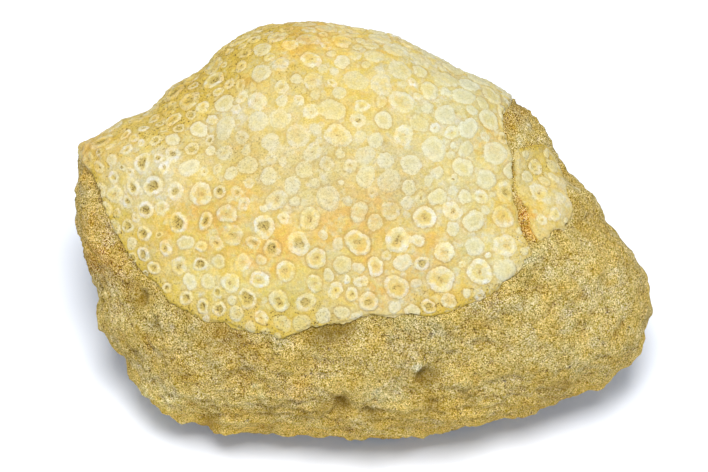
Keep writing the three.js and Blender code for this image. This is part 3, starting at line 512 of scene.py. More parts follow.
# Stains on the plate, painted shade, and where its teeth stand out: across, up, radius, strength
plateStains = {
    "orange": [
        (-7, 19.6, 2.4, 0.95), (-14.5, 0, 2.6, 0.7), (-12.5, 3.2, 1.8, 0.7),
        (-10.5, -2.5, 1.8, 0.7), (-8, -1.5, 2.4, 0.7), (-28.6, 8.3, 1.8, 0.9),
        (-18, 14.8, 2, 0.6), (4.2, -5.6, 1.2, 0.3), (5, -7.8, 1.2, 0.3), (7.6, -8.2, 1.2, 0.7),
        (-9, 16, 2, 0.1), (0.5, 0.5, 2.8, 0.5), (-3.5, 0.5, 2, 0.55), (6, -3.5, 2.8, 0.45),
        (1.5, -6.3, 1.5, 0.7), (13, 9.6, 1.6, 0.5), (14.2, 1.5, 1.6, 0.35), (17.2, 1.4, 0.9, 1),
        (2.5, 13.2, 1.2, 0.4), (-16.8, 3.6, 1.4, 0.5), (-20, 0, 3, 0.35), (-12, 15.4, 1, 0.7),
        (1.5, 3, 2, 0.5), (-1.5, 2, 1.6, 0.4), (9.5, -7, 1.6, 0.5), (0.3, -3.6, 1.2, 0.6),
        (-12.3, 8.8, 1.2, 0.2), (-11, -8.8, 1.2, 0.5), (-14, 17, 2, 0.4), (-20, 12, 2, 0.4),
        (-3, 20, 2, 0.5), (2.5, 19, 2, 0.15), (-26, 9, 2, 0.4), (-17.3, 1.8, 1.2, 0.6),
        (7, -1, 1.2, 0.4),
    ],
    "dirt": [
        (-27.2, 8.4, 2.4, 0.45), (-24, 10.5, 2.6, 0.55), (-20.5, 12.3, 2.8, 0.9),
        (-17.5, 14, 2.6, 0.95), (-14.5, 16.8, 2.6, 0.95), (-12, 19, 2.4, 0.9),
        (-8.5, 20.8, 2.4, 0.85), (-26.5, 2.5, 1.8, 0.7), (-25, -1.5, 1.6, 0.6),
        (-23, -4, 1.6, 0.7), (-20.5, -6.6, 1.6, 0.7), (-17, -8.8, 1.6, 0.5),
        (18.2, 6.7, 1.3, 0.95), (16.6, 9, 1.0, 0.9), (18.2, 9, 0.9, 0.9), (-12, 7.5, 2.6, 0.3),
        (-7, 15, 3, 0.35), (15.2, 9.6, 0.8, 0.8), (-10.5, -9, 1.6, 0.35), (-26.2, 0.6, 1.6, 0.8),
        (-24.2, -2.8, 1.6, 0.8), (-22, -5.4, 1.6, 0.8), (-18.6, -8, 1.4, 0.6),
        (-17.7, 8.4, 1, 0.7), (-21.3, 9.2, 1, 0.7), (-27.5, 5.3, 1.3, 0.8),
        (-19.6, 11.4, 1.6, 0.7), (-5, -9.4, 1.2, 0.3), (8, -8.8, 1.6, 0.6),
        (16.5, -0.3, 0.9, 0.6), (6.4, -7.9, 1.6, 0.7), (9.6, -7.4, 1.5, 0.6),
        (15.6, -1.6, 1.3, 0.7), (12.4, -6.4, 1.6, 0.6), (-13, -8.6, 2, 0.85),
        (-8.5, -9.4, 2.2, 0.8), (-5, -8.8, 1.8, 0.6),
    ],
    "grey": [
        (-9, 7, 3.5, 0.8), (-4, 5.5, 3.5, 0.8), (1, 3.6, 3, 0.6), (-13, 8.5, 3, 0.6),
        (4.6, 4.3, 2, 0.6), (-3.5, -9, 1.8, 0.8), (-0.8, -8.8, 1.4, 0.6), (-20, 7, 2.5, 0.3),
        (3, 6.5, 3, 0.5), (-12.8, -8.4, 1.2, 0.5), (-8.2, -9.5, 1.2, 0.4), (-15.5, 7.5, 2, 0.5),
        (16.3, -3.6, 1, 0.5), (21.4, 4.5, 0.9, 0.7), (21.6, 2, 0.9, 0.7), (20.6, -0.6, 0.8, 0.6),
    ],
    "pale": [
        (8, 12, 6, 0.4), (11, 5, 5, 0.4), (9, -5, 4, 0.5), (4, 16.5, 4, 0.35),
        (-22, 7, 3.6, 0.85), (2, 10, 3.5, 0.35), (2, -8.2, 2.4, 0.5), (4.5, -5.6, 2.4, 0.55),
        (-9.5, 16, 2.6, 0.5), (3, 19, 2.5, 0.5), (12, -3, 4, 0.4), (-13, -6, 3, 0.4),
        (13, -5.4, 3, 0.4), (20.4, 3, 1.8, 0.6), (16.6, -1.8, 1.2, 0.8), (-6.5, 3, 2, 0.4),
        (-3, 16.8, 2, 0.5), (-17, 10.4, 1.6, 0.6), (-14.2, 11.8, 2.2, 0.6), (-8, 12.3, 2, 0.4),
        (-16.8, -5.3, 2, 0.6), (10, 15, 4, 0.4), (-15, -6.5, 2, 0.4), (-6, -6.5, 2, 0.4),
        (-22.5, 4, 2.5, 0.5), (-11, -4, 3, 0.2),
    ],
    "yellow": [
        (-25.6, 1.6, 2.2, 0.8), (-17.5, -3, 5, 0.85), (-21, 0.2, 3, 0.85), (-2, 13, 5, 0.45),
        (-12, -5, 5, 0.75), (-7, -7.5, 4, 0.75), (14, 2, 2.2, 0.7), (-16, 3, 4, 0.35),
        (3, -2, 4, 0.35), (-7, 19, 4, 0.7), (-28, 8, 3, 0.9), (3.2, 16, 2.2, 0.6),
        (6.8, 14.5, 1.3, 0.6), (-16.8, 12, 1.6, 0.7), (-19, 14, 3, 0.6), (-5.1, -5.3, 1, 0.7),
        (1.5, 15, 2, 0.4), (9.6, -6.6, 1.3, 0.6), (-24, 11, 3, 0.9), (-1, 20, 4, 0.7),
        (4.5, 18.5, 2.5, 0.35), (-13, 18, 3, 0.8), (-16, 16, 3, 0.8), (-22, 12, 3, 0.8),
        (18, 6, 2, 0.6), (19, 2, 1.5, 0.6), (-9.5, 19.5, 3, 0.7),
    ],
    # painted shade, most over the plate's upper right
    "paintedShade": [
        (10, 12, 6.5, 0.95), (12, 4, 5, 0.6), (2, 8, 4, 0.2), (9, -5, 5, 0.45),
        (13, -4.5, 3.5, 0.6), (-15, -2, 5, 0.6), (-8, -7.5, 4, 0.9), (-3, -2, 4, 0.3),
    ],
    "soft": [
        (-22, 4, 5, 0.8), (-18, -4, 5.5, 0.75), (-12, -7, 4, 0.6), (-26, 7, 4, 0.6),
        (-6, 8, 5, 0.5), (-5, -8, 3, 0.4), (10, 6, 4, 0.35), (16.5, -1.5, 2.5, 0.7),
        (19, 3.5, 3, 0.7), (6, 15, 4, 0.4),
    ],
    "bold": [
        (-12, 16.5, 4, 0.85), (-18, 12, 4, 0.8), (-24, 9.5, 3.5, 0.8), (-9, 19.5, 3, 0.7),
        (-21.5, 3, 5.5, 0.9), (-18, -4, 6, 0.75), (-10, -6, 5, 0.7), (-9, -0.5, 3, 0.7),
        (3, -6, 5.5, 0.95), (9, -4, 4, 0.95), (6, 0, 3, 0.8), (13, -3, 3, 0.5), (9, 11, 6, 0.8),
        (2, 12, 3, 0.5), (-5.5, 18.5, 3, 0.6), (-0.5, -1.5, 2, 0.7), (13.6, 8, 1.8, 0.6),
        (3.5, 1.5, 2, 0.6),
    ],
}
hiddenLooks = {  # what the material is told of the plate's sides and underside
    "inside": -0.5, "pit": -1, "tone": 0.5, "tint": 0.5, "rimWide": 0.3, "hollow": 0, "fromEdge": 0,
}


def plateTop(plate):  # the chart of its grid, with lines that are calmer inside than the edge
    share, bearing, faces, rim = discGrid(plate["gridSide"])
    rimReach = edgeReach(plate, bearing[rim])
    order = np.argsort(bearing[rim] % turn)
    rimBearing, rimReach = (bearing[rim] % turn)[order], rimReach[order]
    even = np.linspace(0, turn, 360, endpoint=False)
    eased = np.interp(even, rimBearing, rimReach, period=turn)
    half = relief["evened"] // 2
    eased = sum(np.roll(eased, shift) for shift in range(-half, half + 1)) / relief["evened"]
    reach = np.interp(bearing % turn, rimBearing, rimReach, period=turn)
    inner = np.interp(bearing % turn, even, eased, period=turn)
    way = np.stack([np.cos(bearing), np.sin(bearing)], axis=1)
    out = share * (inner + (reach - inner) * share ** 3)
    return plate["chartMiddle"] + way * out[:, None], way, faces, rim


def platePiece(plate):
    chart, way, faces, rim = plateTop(plate)
    flat = skin(chart)
    fromEdge = np.maximum(-outside(plate["edge"], chart), 0)
    draw = numbersFrom(plate["seed"])
    height, looks = toothRelief(flat, teethOf(plate), len(plate["teeth"]), draw)
    height += smooth(np.hypot(*chart.T), *relief["crustReach"]) * layered(flat, [relief["crust"]])
    height = height - relief["edgeDrop"] * (1 - smooth(fromEdge, 0, relief["edgeRounding"])) ** 2
    looks["fromEdge"] = fromEdge
    crumble = layered(flat[rim], [relief["crumble"]])
    thickness = relief["plateThickness"]
    points = [skin(chart, height)]
    for lift, spread in relief["wall"] + [(-thickness, relief["wallFoot"])]:
        ringChart = chart[rim] + way[rim] * ((spread + crumble) / lump["chartScale"])[:, None]
        points.append(skin(ringChart, height[rim] * relief["wallFollows"] + lift))
    for part in relief["underside"]:
        ringChart = plate["chartMiddle"] + (chart[rim] - plate["chartMiddle"]) * part
        points.append(skin(ringChart, -thickness))
    ring = rim
    for number in range(len(points) - 1):
        after = len(flat) + number * len(rim) + np.arange(len(rim))
        faces += joined(ring, after)
        ring = after
    points = np.concatenate(points + [skin(plate["chartMiddle"], -thickness)])
    faces += capped(ring, len(points) - 1)
    piece = meshPiece(plate["name"], points, faces)
    extra = len(points) - len(flat)
    for name, hidden in hiddenLooks.items():
        carry(piece, name, np.concatenate([looks[name], np.full(extra, hidden)]))
    underneath = np.tile(plate["chartMiddle"], (extra, 1))
    paintStains(piece, np.concatenate([chart, underneath]), plateStains, math.pi / 2)
    return piece


matrixRock = {
    "bearings": 640,
    "rows": 118,
    "evenly": 0.62,  # the rest of the rows' spacing grows away from the plate
    "bedGap": 0.05,
    "bedDepth": 1.9,
    "bedWall": 1.1,
    "edgeStep": 0.3,
    "stepWidth": 3.2,
    "pocket": 1.3,  # under the parted strip
    "pocketRim": (0.05, 0.5),
    "broad": [(0.45, 5.0, 1.7), (0.42, 2.2, 4.1)],  # how high, the size of its lumps, seed
    "broadDents": (0.2, 1.7, 9.2, 0.3, 0.7),  # depth, size and seed, and where the noise makes one
    "close": [(0.26, 0.9, 6.3), (0.14, 0.45, 2.9)],
    "closeDents": (0.16, 0.7, 3.6, 0.3, 0.6),
    "sunk": 0.12,
    "calm": (0.45, 1.2),  # share of the roughness beside the plates, and how far out it is whole
    "layer": 0.12,  # height of the thin beds that show low on the front
    "layersClose": 6.5,
    "layersWaver": (1.6, 4.0, 3.3),
    "layersBelow": (15.5, 18.5),  # how far below the face's middle they come in
    "bare": 0.25,  # with no sand grains on it, along the plates
    "grainsAbove": 0.35,
    # Painted light low down, and painted shade on faces that look down: where each comes in
    "lowBelow": (1.0, 14.0),
    "underFrom": (0.25, 0.6),  # how far down a face looks where it is dark
    "hollows": [  # the ones that catch the eye: across, up, radius, depth
        (6.0, -15.0, 0.7, 0.9), (-2.3, -18.3, 0.9, 0.9), (0.3, -18.7, 0.6, 0.7),
        (7, -18, 0.7, 0.6), (-23.2, -7.2, 0.6, 0.7), (-28, -6.6, 0.8, 0.2),
        (-16, -20.3, 0.9, 0.5), (15.6, 6.65, 0.3, 0.6), (-6, -13.5, 0.9, 0.4), (-19, -13, 1, 0.4),
        (12, -12.5, 1.1, 0.35), (21, -9, 1.1, 0.35), (-12.5, -15, 0.9, 0.4),
        (18, -15.5, 0.8, 0.45), (25, -5, 0.9, 0.4),
    ],
    "lumps": [
        (-7, -16.5, 1.0, 0.5), (-4.5, -14.2, 0.6, 0.25), (10.5, -15.7, 0.7, 0.3),
        (5.4, -14, 0.55, 0.4), (-10.5, -17.2, 0.5, 0.35), (-26.5, -6.3, 0.8, 0.4),
        (11.3, -7.6, 0.5, 0.3), (1.5, -14.5, 0.9, 0.25), (-15, -13, 0.8, 0.3),
        (17.5, -8.5, 0.9, 0.25), (24, -11, 0.9, 0.3), (-20.5, -16, 0.9, 0.35),
        (15.9, 12.6, 1.7, 0.4), (17, 10, 1.6, 0.25), (-27.5, 0, 1.8, 0.2), (-25, -4, 1.8, 0.25),
        (-21.8, -7.2, 1.6, 0.25), (-18, -10, 1.6, 0.2), (14.5, -6.2, 1.6, 0.3),
        (18.2, -2.4, 1.3, 0.3), (10, -9.6, 1.5, 0.2), (22.6, 2, 1.2, 0.2),
    ],
}


def spotHeights(across, up, behind):  # of the listed hollows and lumps
    height = np.zeros(len(across))
    for key, sign in (("hollows", -1), ("lumps", 1)):
        for x, y, radius, size in matrixRock[key]:
            away = np.hypot(across - x, up - y) / radius
            height += np.where(behind, 0, sign * size * np.exp(-away ** 2))
    return height


# Stains on the matrix and on its grains, and painted shade: across, up, radius, strength
matrixStains = {
    "greyPatch": [
        (-28.5, 3.5, 2, 0.7), (-22, -8.5, 2, 0.6), (-18.5, -10.5, 2, 0.5), (7, -10.5, 2.5, 0.5),
        (17, -2.6, 1.8, 0.7), (3.5, -10, 1.6, 0.9), (-24, -15, 2.4, 0.4), (20, -6, 3, 0.3),
        (19.8, -1, 1.4, 0.6), (14, -9, 2, 0.4), (-9, -11.4, 1.2, 0.5), (7.5, -11, 1.4, 0.7),
        (16.5, -4.5, 1.4, 0.6), (22, -9.5, 1.6, 0.5), (21, -12.5, 1.4, 0.5),
    ],
    "ochre": [
        (17.1, 1.6, 0.9, 1), (17.4, 0.4, 0.9, 1), (16.6, 3, 0.7, 0.7), (17.6, -0.5, 0.7, 0.7),
        (16.2, 12.2, 1.2, 0.25), (-7, -16.5, 0.9, 0.5), (-28.6, 6, 1.8, 0.35),
        (-28.4, 1, 1.8, 0.35), (-28, -2.5, 1.8, 0.3),
    ],
    "chalk": [
        (15.9, 9.8, 0.5, 0.8), (17.3, 10.8, 0.5, 0.6), (16.4, 8.9, 0.5, 0.6),
        (4.2, -9.6, 1.2, 0.4), (8.4, -9.4, 1.0, 0.25), (17.2, -2.6, 0.8, 0.6),
        (19.3, -1.4, 0.8, 0.6), (1.2, -17.3, 0.9, 1), (-20.6, -18.4, 0.9, 0.9),
        (-22.8, -17.2, 0.9, 0.7), (-18.4, -19.2, 0.8, 0.6), (25, -7, 1.6, 0.35),
        (21, -5, 1.6, 0.3), (17, -8, 1.5, 0.3), (5.4, -14, 0.6, 1), (-11.4, -16.4, 0.45, 0.9),
        (-10.5, -17.2, 0.5, 0.9), (-3.2, -15.5, 1, 0.3), (0.8, -16.3, 1.1, 0.5),
        (3.4, -16.6, 1.0, 0.6), (11.3, -7.5, 0.5, 0.8), (15.2, -5.2, 0.9, 0.6),
        (16.4, -3.6, 0.9, 0.6), (18, -2.2, 0.9, 0.5), (21, 1.5, 0.8, 0.6), (22, 4.5, 0.7, 0.6),
        (-26.5, -6.3, 0.9, 0.5), (22.5, -15, 1.0, 0.5), (10.5, -15.7, 0.6, 0.6),
        (-7, -16.5, 0.7, 0.4), (-19.2, -17.5, 1.4, 0.5), (-21.5, -16.2, 1.2, 0.4),
        (4, -18, 0.8, 0.4), (-19, -11.6, 1.2, 0.35),
    ],
    "rust": [
        (-27, -1.5, 2, 0.8), (17, 1.4, 0.9, 1), (16.9, -0.4, 0.7, 0.8), (-27.5, -4, 1.6, 0.5),
        (-25.5, -5, 2, 0.5), (-7, -16.5, 1.4, 0.5), (4, -12, 3, 0.15), (-12, -14, 3, 0.2),
        (-20, -12.5, 3, 0.2), (15.2, 11, 1, 0.3), (-13.5, -10.8, 1.5, 0.5), (12, -8, 1.5, 0.5),
    ],
    # painted shade in hollows, under the plate's edge and along the crack
    "shade": [
        (16.3, 12.4, 0.9, 0.3), (20.5, -17.5, 2.5, 0.25), (-10, -20.2, 1.5, 0.3),
        (23.2, 1, 1.5, 0.25), (11, -8.6, 1.2, 0.25), (-2, -10.1, 1, 0.5), (-13, -11.2, 1.2, 0.3),
        (4, -19.6, 1.2, 0.3), (-3.6, -10.6, 1.3, 0.9), (-5, -10.8, 1, 0.7), (-2, -10.3, 1, 0.7),
        (-15, -11, 2, 0.5), (6.2, -15.4, 1.0, 0.95), (7.2, -15, 0.8, 0.7),
        (-2.3, -18.3, 1.1, 0.85), (-4, -18, 0.8, 0.5), (1, -18.8, 1.1, 0.8), (7, -18.2, 1.0, 0.6),
        (-23.2, -7.2, 1, 0.8), (-16, -20.3, 1, 0.6), (-9.5, -18.6, 0.8, 0.5),
        (-6, -18.8, 0.8, 0.5), (11, -17.5, 0.8, 0.5), (-21.5, -10, 0.8, 0.4),
        (-28.5, -3, 1.2, 0.3), (15.8, 6.65, 0.35, 0.9), (15.9, 2.6, 0.5, 0.6),
        (15.3, 8.2, 0.4, 0.5), (16, 4.4, 0.4, 0.6), (16.7, 0.6, 0.35, 0.6),
    ],
    "dusty": [
        (-28.8, 5, 2.6, 0.9), (-28.6, 0.5, 2.4, 0.7), (-22.5, -9, 2.2, 0.7), (-11, -18, 2.6, 0.6),
        (-22, -17.5, 3, 0.5), (-10, -20, 4, 0.7), (0, -20.5, 4, 0.6), (12, -19, 4, 0.6),
        (24, -10, 5, 0.5), (-3, -15.5, 1.4, 0.6), (1.5, -16, 1.2, 0.6), (3, -16.5, 1.2, 0.5),
        (-11.4, -16.4, 0.6, 0.9), (-10.5, -17.2, 0.6, 0.8), (5.4, -14, 0.7, 0.9),
        (11.3, -7.5, 0.6, 0.9), (-26.5, -6.3, 1.1, 0.6), (10.5, -15.7, 0.8, 0.7),
        (18, -12, 4, 0.4), (23, -4, 5, 0.5), (15.7, 9.2, 1.3, 1), (18, 10, 1.6, 0.8),
        (27, -10, 4, 0.4), (22.6, -15, 2, 0.7),
    ],
}


def matrixPiece():
    # Rings of points, from the middle of the plate's bed out to the middle of the back
    count = matrixRock["bearings"]
    bearing = np.arange(count) * turn / count
    near = edgeReach(mainPlate, bearing) + matrixRock["bedGap"] / lump["chartScale"]
    way = np.stack([np.cos(bearing), np.sin(bearing)], axis=1)
    even = np.linspace(0, 1, matrixRock["rows"])[:-1]
    spaced = matrixRock["evenly"] * even + (1 - matrixRock["evenly"]) * even ** 3
    centre = mainPlate["chartMiddle"]
    toPole = way @ centre  # from here every ray runs on to the middle of the back
    far = np.sqrt(toPole ** 2 + math.pi ** 2 - centre @ centre) - toPole
    bed = (0.25, 0.5, 0.75, 1.0)  # rings under the plate, then one up its wall, then open ground
    reaches = [near * part for part in bed] + [near]
    reaches += [near + (far - near) * part for part in spaced]
    depths = [matrixRock["bedDepth"]] * len(bed) + [matrixRock["bedWall"]] + [0] * len(spaced)
    chart = np.concatenate([centre + way * reach[:, None] for reach in reaches])
    isOpen = np.arange(len(chart)) >= (len(bed) + 1) * count
    besideMain = outside(mainPlate["edge"], chart)
    besideStrip = outside(partedStrip["edge"], chart)
    beside = np.minimum(np.maximum(besideMain, 0), np.abs(besideStrip))

    # Its relief, with a step down to the plates and a pocket under the strip
    base = skin(chart)
    broad = layered(base, matrixRock["broad"]) - dents(base, *matrixRock["broadDents"])
    close = layered(base, matrixRock["close"]) - dents(base, *matrixRock["closeDents"])
    across, up, behind = facePlaces(chart)
    waver = layered(base, [matrixRock["layersWaver"]])
    layer = np.sin(up * matrixRock["layersClose"] + waver) * smooth(-up, *matrixRock["layersBelow"])
    broad += np.where(behind, 0, matrixRock["layer"] * layer)
    step = -matrixRock["edgeStep"] * (1 - smooth(beside, 0, matrixRock["stepWidth"]))
    spots = spotHeights(across, up, behind)
    calm, whole = matrixRock["calm"]
    rough = (broad + close - matrixRock["sunk"]) * atLeast(calm, smooth(beside, 0, whole))
    rough += step + spots
    pocket = -matrixRock["pocket"] * smooth(-besideStrip, *matrixRock["pocketRim"])
    points = skin(chart, np.where(isOpen, rough + pocket, -np.repeat(depths, count)))

    # The mesh, and what its material is told
    ends = [skin(centre, -matrixRock["bedDepth"]), skin([math.pi, 0])]
    points = np.concatenate([points] + ends)
    points[:, 2] = np.maximum(points[:, 2], 0)  # the broken flat that it stands on
    rings = np.arange(len(chart)).reshape(-1, count)
    faces = []
    for ring, after in zip(rings, rings[1:]):
        faces += joined(ring, after)
    faces += capped(rings[0][::-1], len(chart)) + capped(rings[-1], len(chart) + 1)
    piece = meshPiece("sandyMatrix", points, faces)
    height, bare = base[:, 2], matrixRock["bare"]
    free = isOpen & (np.minimum(besideStrip, besideMain) > bare)
    # How sunk the ground is, for painted shade in hollows and painted light on rises
    deep = 0.6 * (0.02 - close) / 0.14 + 0.4 * (0.05 - broad) / 0.4 - 0.5 * spots  # how sunk
    looks = {
        "sanded": (free & (height > matrixRock["grainsAbove"])).astype(float),
        "deep": np.clip(deep, -1, 1),
        # where the painted light low down comes in
        "low": 1 - smooth(height, *matrixRock["lowBelow"]),
    }
    for name, values in looks.items():
        carry(piece, name, np.concatenate([values, [0, 0]]))
    # Painted shade on the faces that look down
    facing = np.empty(3 * len(piece.data.vertices))
    piece.data.vertices.foreach_get("normal", facing)
    carry(piece, "under", smooth(-facing[2::3], *matrixRock["underFrom"]))
    paintStains(piece, np.concatenate([chart, [centre, [math.pi, 0]]]), matrixStains)
    return piece


class Wire:  # a shader socket that takes part in sums
    def __init__(self, paint, socket):
        self.paint = paint
        self.socket = socket

    def maths(self, operation, first, second):
        return self.paint.node("ShaderNodeMath", {"operation": operation}, {0: first, 1: second})

    def __add__(self, other):
        return self.maths("ADD", self, other)

    def __radd__(self, other):
        return self.maths("ADD", other, self)

    def __sub__(self, other):
        return self.maths("SUBTRACT", self, other)

    def __rsub__(self, other):
        return self.maths("SUBTRACT", other, self)

    def __mul__(self, other):
        return self.maths("MULTIPLY", self, other)

    def __rmul__(self, other):
        return self.maths("MULTIPLY", other, self)


class Paint:  # one material and its tree
    def __init__(self, name):
        self.material = bpy.data.materials.new(name)
        self.material.use_nodes = True
        self.tree = self.material.node_tree
        self.shader = self.tree.nodes["Principled BSDF"]
        self.place = self.node("ShaderNodeTexCoord", {}, {}, "Object")

    def node(self, kind, settings, inputs, output=0):
        made = self.tree.nodes.new(kind)
        for name, value in settings.items():
            setattr(made, name, value)
        for name, value in inputs.items():
            self.put(made.inputs[name], value)
        return Wire(self, made.outputs[output])

    def put(self, socket, value):
        if isinstance(value, Wire):
            self.tree.links.new(value.socket, socket)
        else:
            socket.default_value = value

    def own(self, name):  # an attribute of the piece
        return self.node("ShaderNodeAttribute", {"attribute_name": name}, {}, "Fac")

    def noise(self, size, detail=2.0, rough=0.5):  # size in millimetres
        inputs = {"Vector": self.place, "Scale": 1000 / size, "Detail": detail, "Roughness": rough}
        return self.node("ShaderNodeTexNoise", {}, inputs)

    def cells(self, size, output="Distance"):
        inputs = {"Vector": self.place, "Scale": 1000 / size}
        return self.node("ShaderNodeTexVoronoi", {"feature": "F1"}, inputs, output)

    def grains(self, size):  # the same number all over each grain, from 0 to 1
        inputs = {"Vector": self.cells(size, "Position")}
        return self.node("ShaderNodeTexWhiteNoise", {"noise_dimensions": "3D"}, inputs)

    def band(self, value, low, high):  # rises smoothly from 0 to 1 between two values
        inputs = {"Value": value, "From Min": low, "From Max": high}
        return self.node("ShaderNodeMapRange", {"interpolation_type": "SMOOTHSTEP"}, inputs)

    def mix(self, share, first, second, blend="MIX"):
        settings = {"data_type": "RGBA", "blend_type": blend, "clamp_factor": True}
        return self.node("ShaderNodeMix", settings, {0: share, 6: first, 7: second}, 2)

    def scaled(self, colour, factor):  # lighter or darker
        return self.node("ShaderNodeVectorMath", {"operation": "SCALE"}, {0: colour, 3: factor})

    def vectors(self, operation, first, second):
        return self.node("ShaderNodeVectorMath", {"operation": operation}, {0: first, 1: second})

    def bump(self, height, distance, strength=1.0, under=None):
        inputs = {"Height": height, "Distance": distance * 0.001, "Strength": strength}
        if under:
            inputs["Normal"] = under
        return self.node("ShaderNodeBump", {}, inputs)

    def finish(self, colour, rough, normal, fixed):
        self.put(self.shader.inputs["Base Color"], colour)
        self.put(self.shader.inputs["Roughness"], rough)
        if normal:
            self.put(self.shader.inputs["Normal"], normal)
        for name, value in fixed.items():
            self.shader.inputs[name].default_value = value
        return self.material


# Clouds of another colour in the enamel, and glazes over it: size, where the noise makes one,
# share, the stain it keeps to, colour
enamelClouds = [
    (1.05, 0.48, 0.62, 0.65, "yellow", "lemon"), (0.82, 0.52, 0.64, 0.6, "orange", "amber"),
    (1.7, 0.52, 0.64, 0.5, "grey", "greenish"), (2.3, 0.5, 0.62, 0.5, "yellow", "lemon"),
    (0.95, 0.5, 0.62, 0.5, "cream", "white"), (0.6, 0.5, 0.62, 0.4, "soft", "white"),
    (1.4, 0.48, 0.6, 0.4, "soft", "white"),
]
enamelGlazes = [
    (2.8, 0.46, 0.6, 0.6, "yellow", "warmTint"), (2.2, 0.46, 0.58, 0.9, "pale", "coolTint"),
    (1.2, 0.48, 0.62, 0.75, "yellow", "warmTint"), (1.0, 0.46, 0.6, 1.0, "pale", "coolTint"),
    (0.6, 0.5, 0.62, 0.7, "orange", "warmTint"), (0.55, 0.5, 0.62, 0.7, "soft", "coolTint"),
    (1.9, 0.48, 0.6, 0.9, "peach", "peachTint"), (0.8, 0.5, 0.62, 0.8, "peach", "peachTint"),
]
enamelColours = {
    "cement": (0.565, 0.47, 0.21, 1),
    "cementYellow": (0.59, 0.445, 0.095, 1),
    "tooth": (0.635, 0.60, 0.385, 1),
    "toothYellow": (0.65, 0.545, 0.195, 1),
    "rim": (0.77, 0.745, 0.565, 1),
    "outline": (0.42, 0.28, 0.09, 1),
    "pit": (0.47, 0.35, 0.085, 1),
    "pitOrange": (0.55, 0.38, 0.12, 1),
    "pitDeep": (0.14, 0.085, 0.02, 1),
    "orange": (0.64, 0.36, 0.07, 1),
    "dirt": (0.57, 0.405, 0.05, 1),
    "dirtDark": (0.13, 0.08, 0.015, 1),
    "grey": (0.47, 0.40, 0.21, 1),
    "pale": (0.57, 0.54, 0.315, 1),
    "yellow": (0.58, 0.435, 0.075, 1),
    "core": (0.64, 0.50, 0.16, 1),
    "lemon": (0.67, 0.54, 0.12, 1),
    "amber": (0.70, 0.43, 0.11, 1),
    "white": (0.68, 0.655, 0.45, 1),
    "greenish": (0.60, 0.58, 0.34, 1),
    "warmTint": (1.06, 0.98, 0.68, 1),
    "coolTint": (1.02, 1.05, 1.26, 1),
    "peachTint": (1.04, 0.92, 0.7, 1),
    # painted shade
    "paintedShadeTint": (0.92, 0.955, 0.94, 1),
}


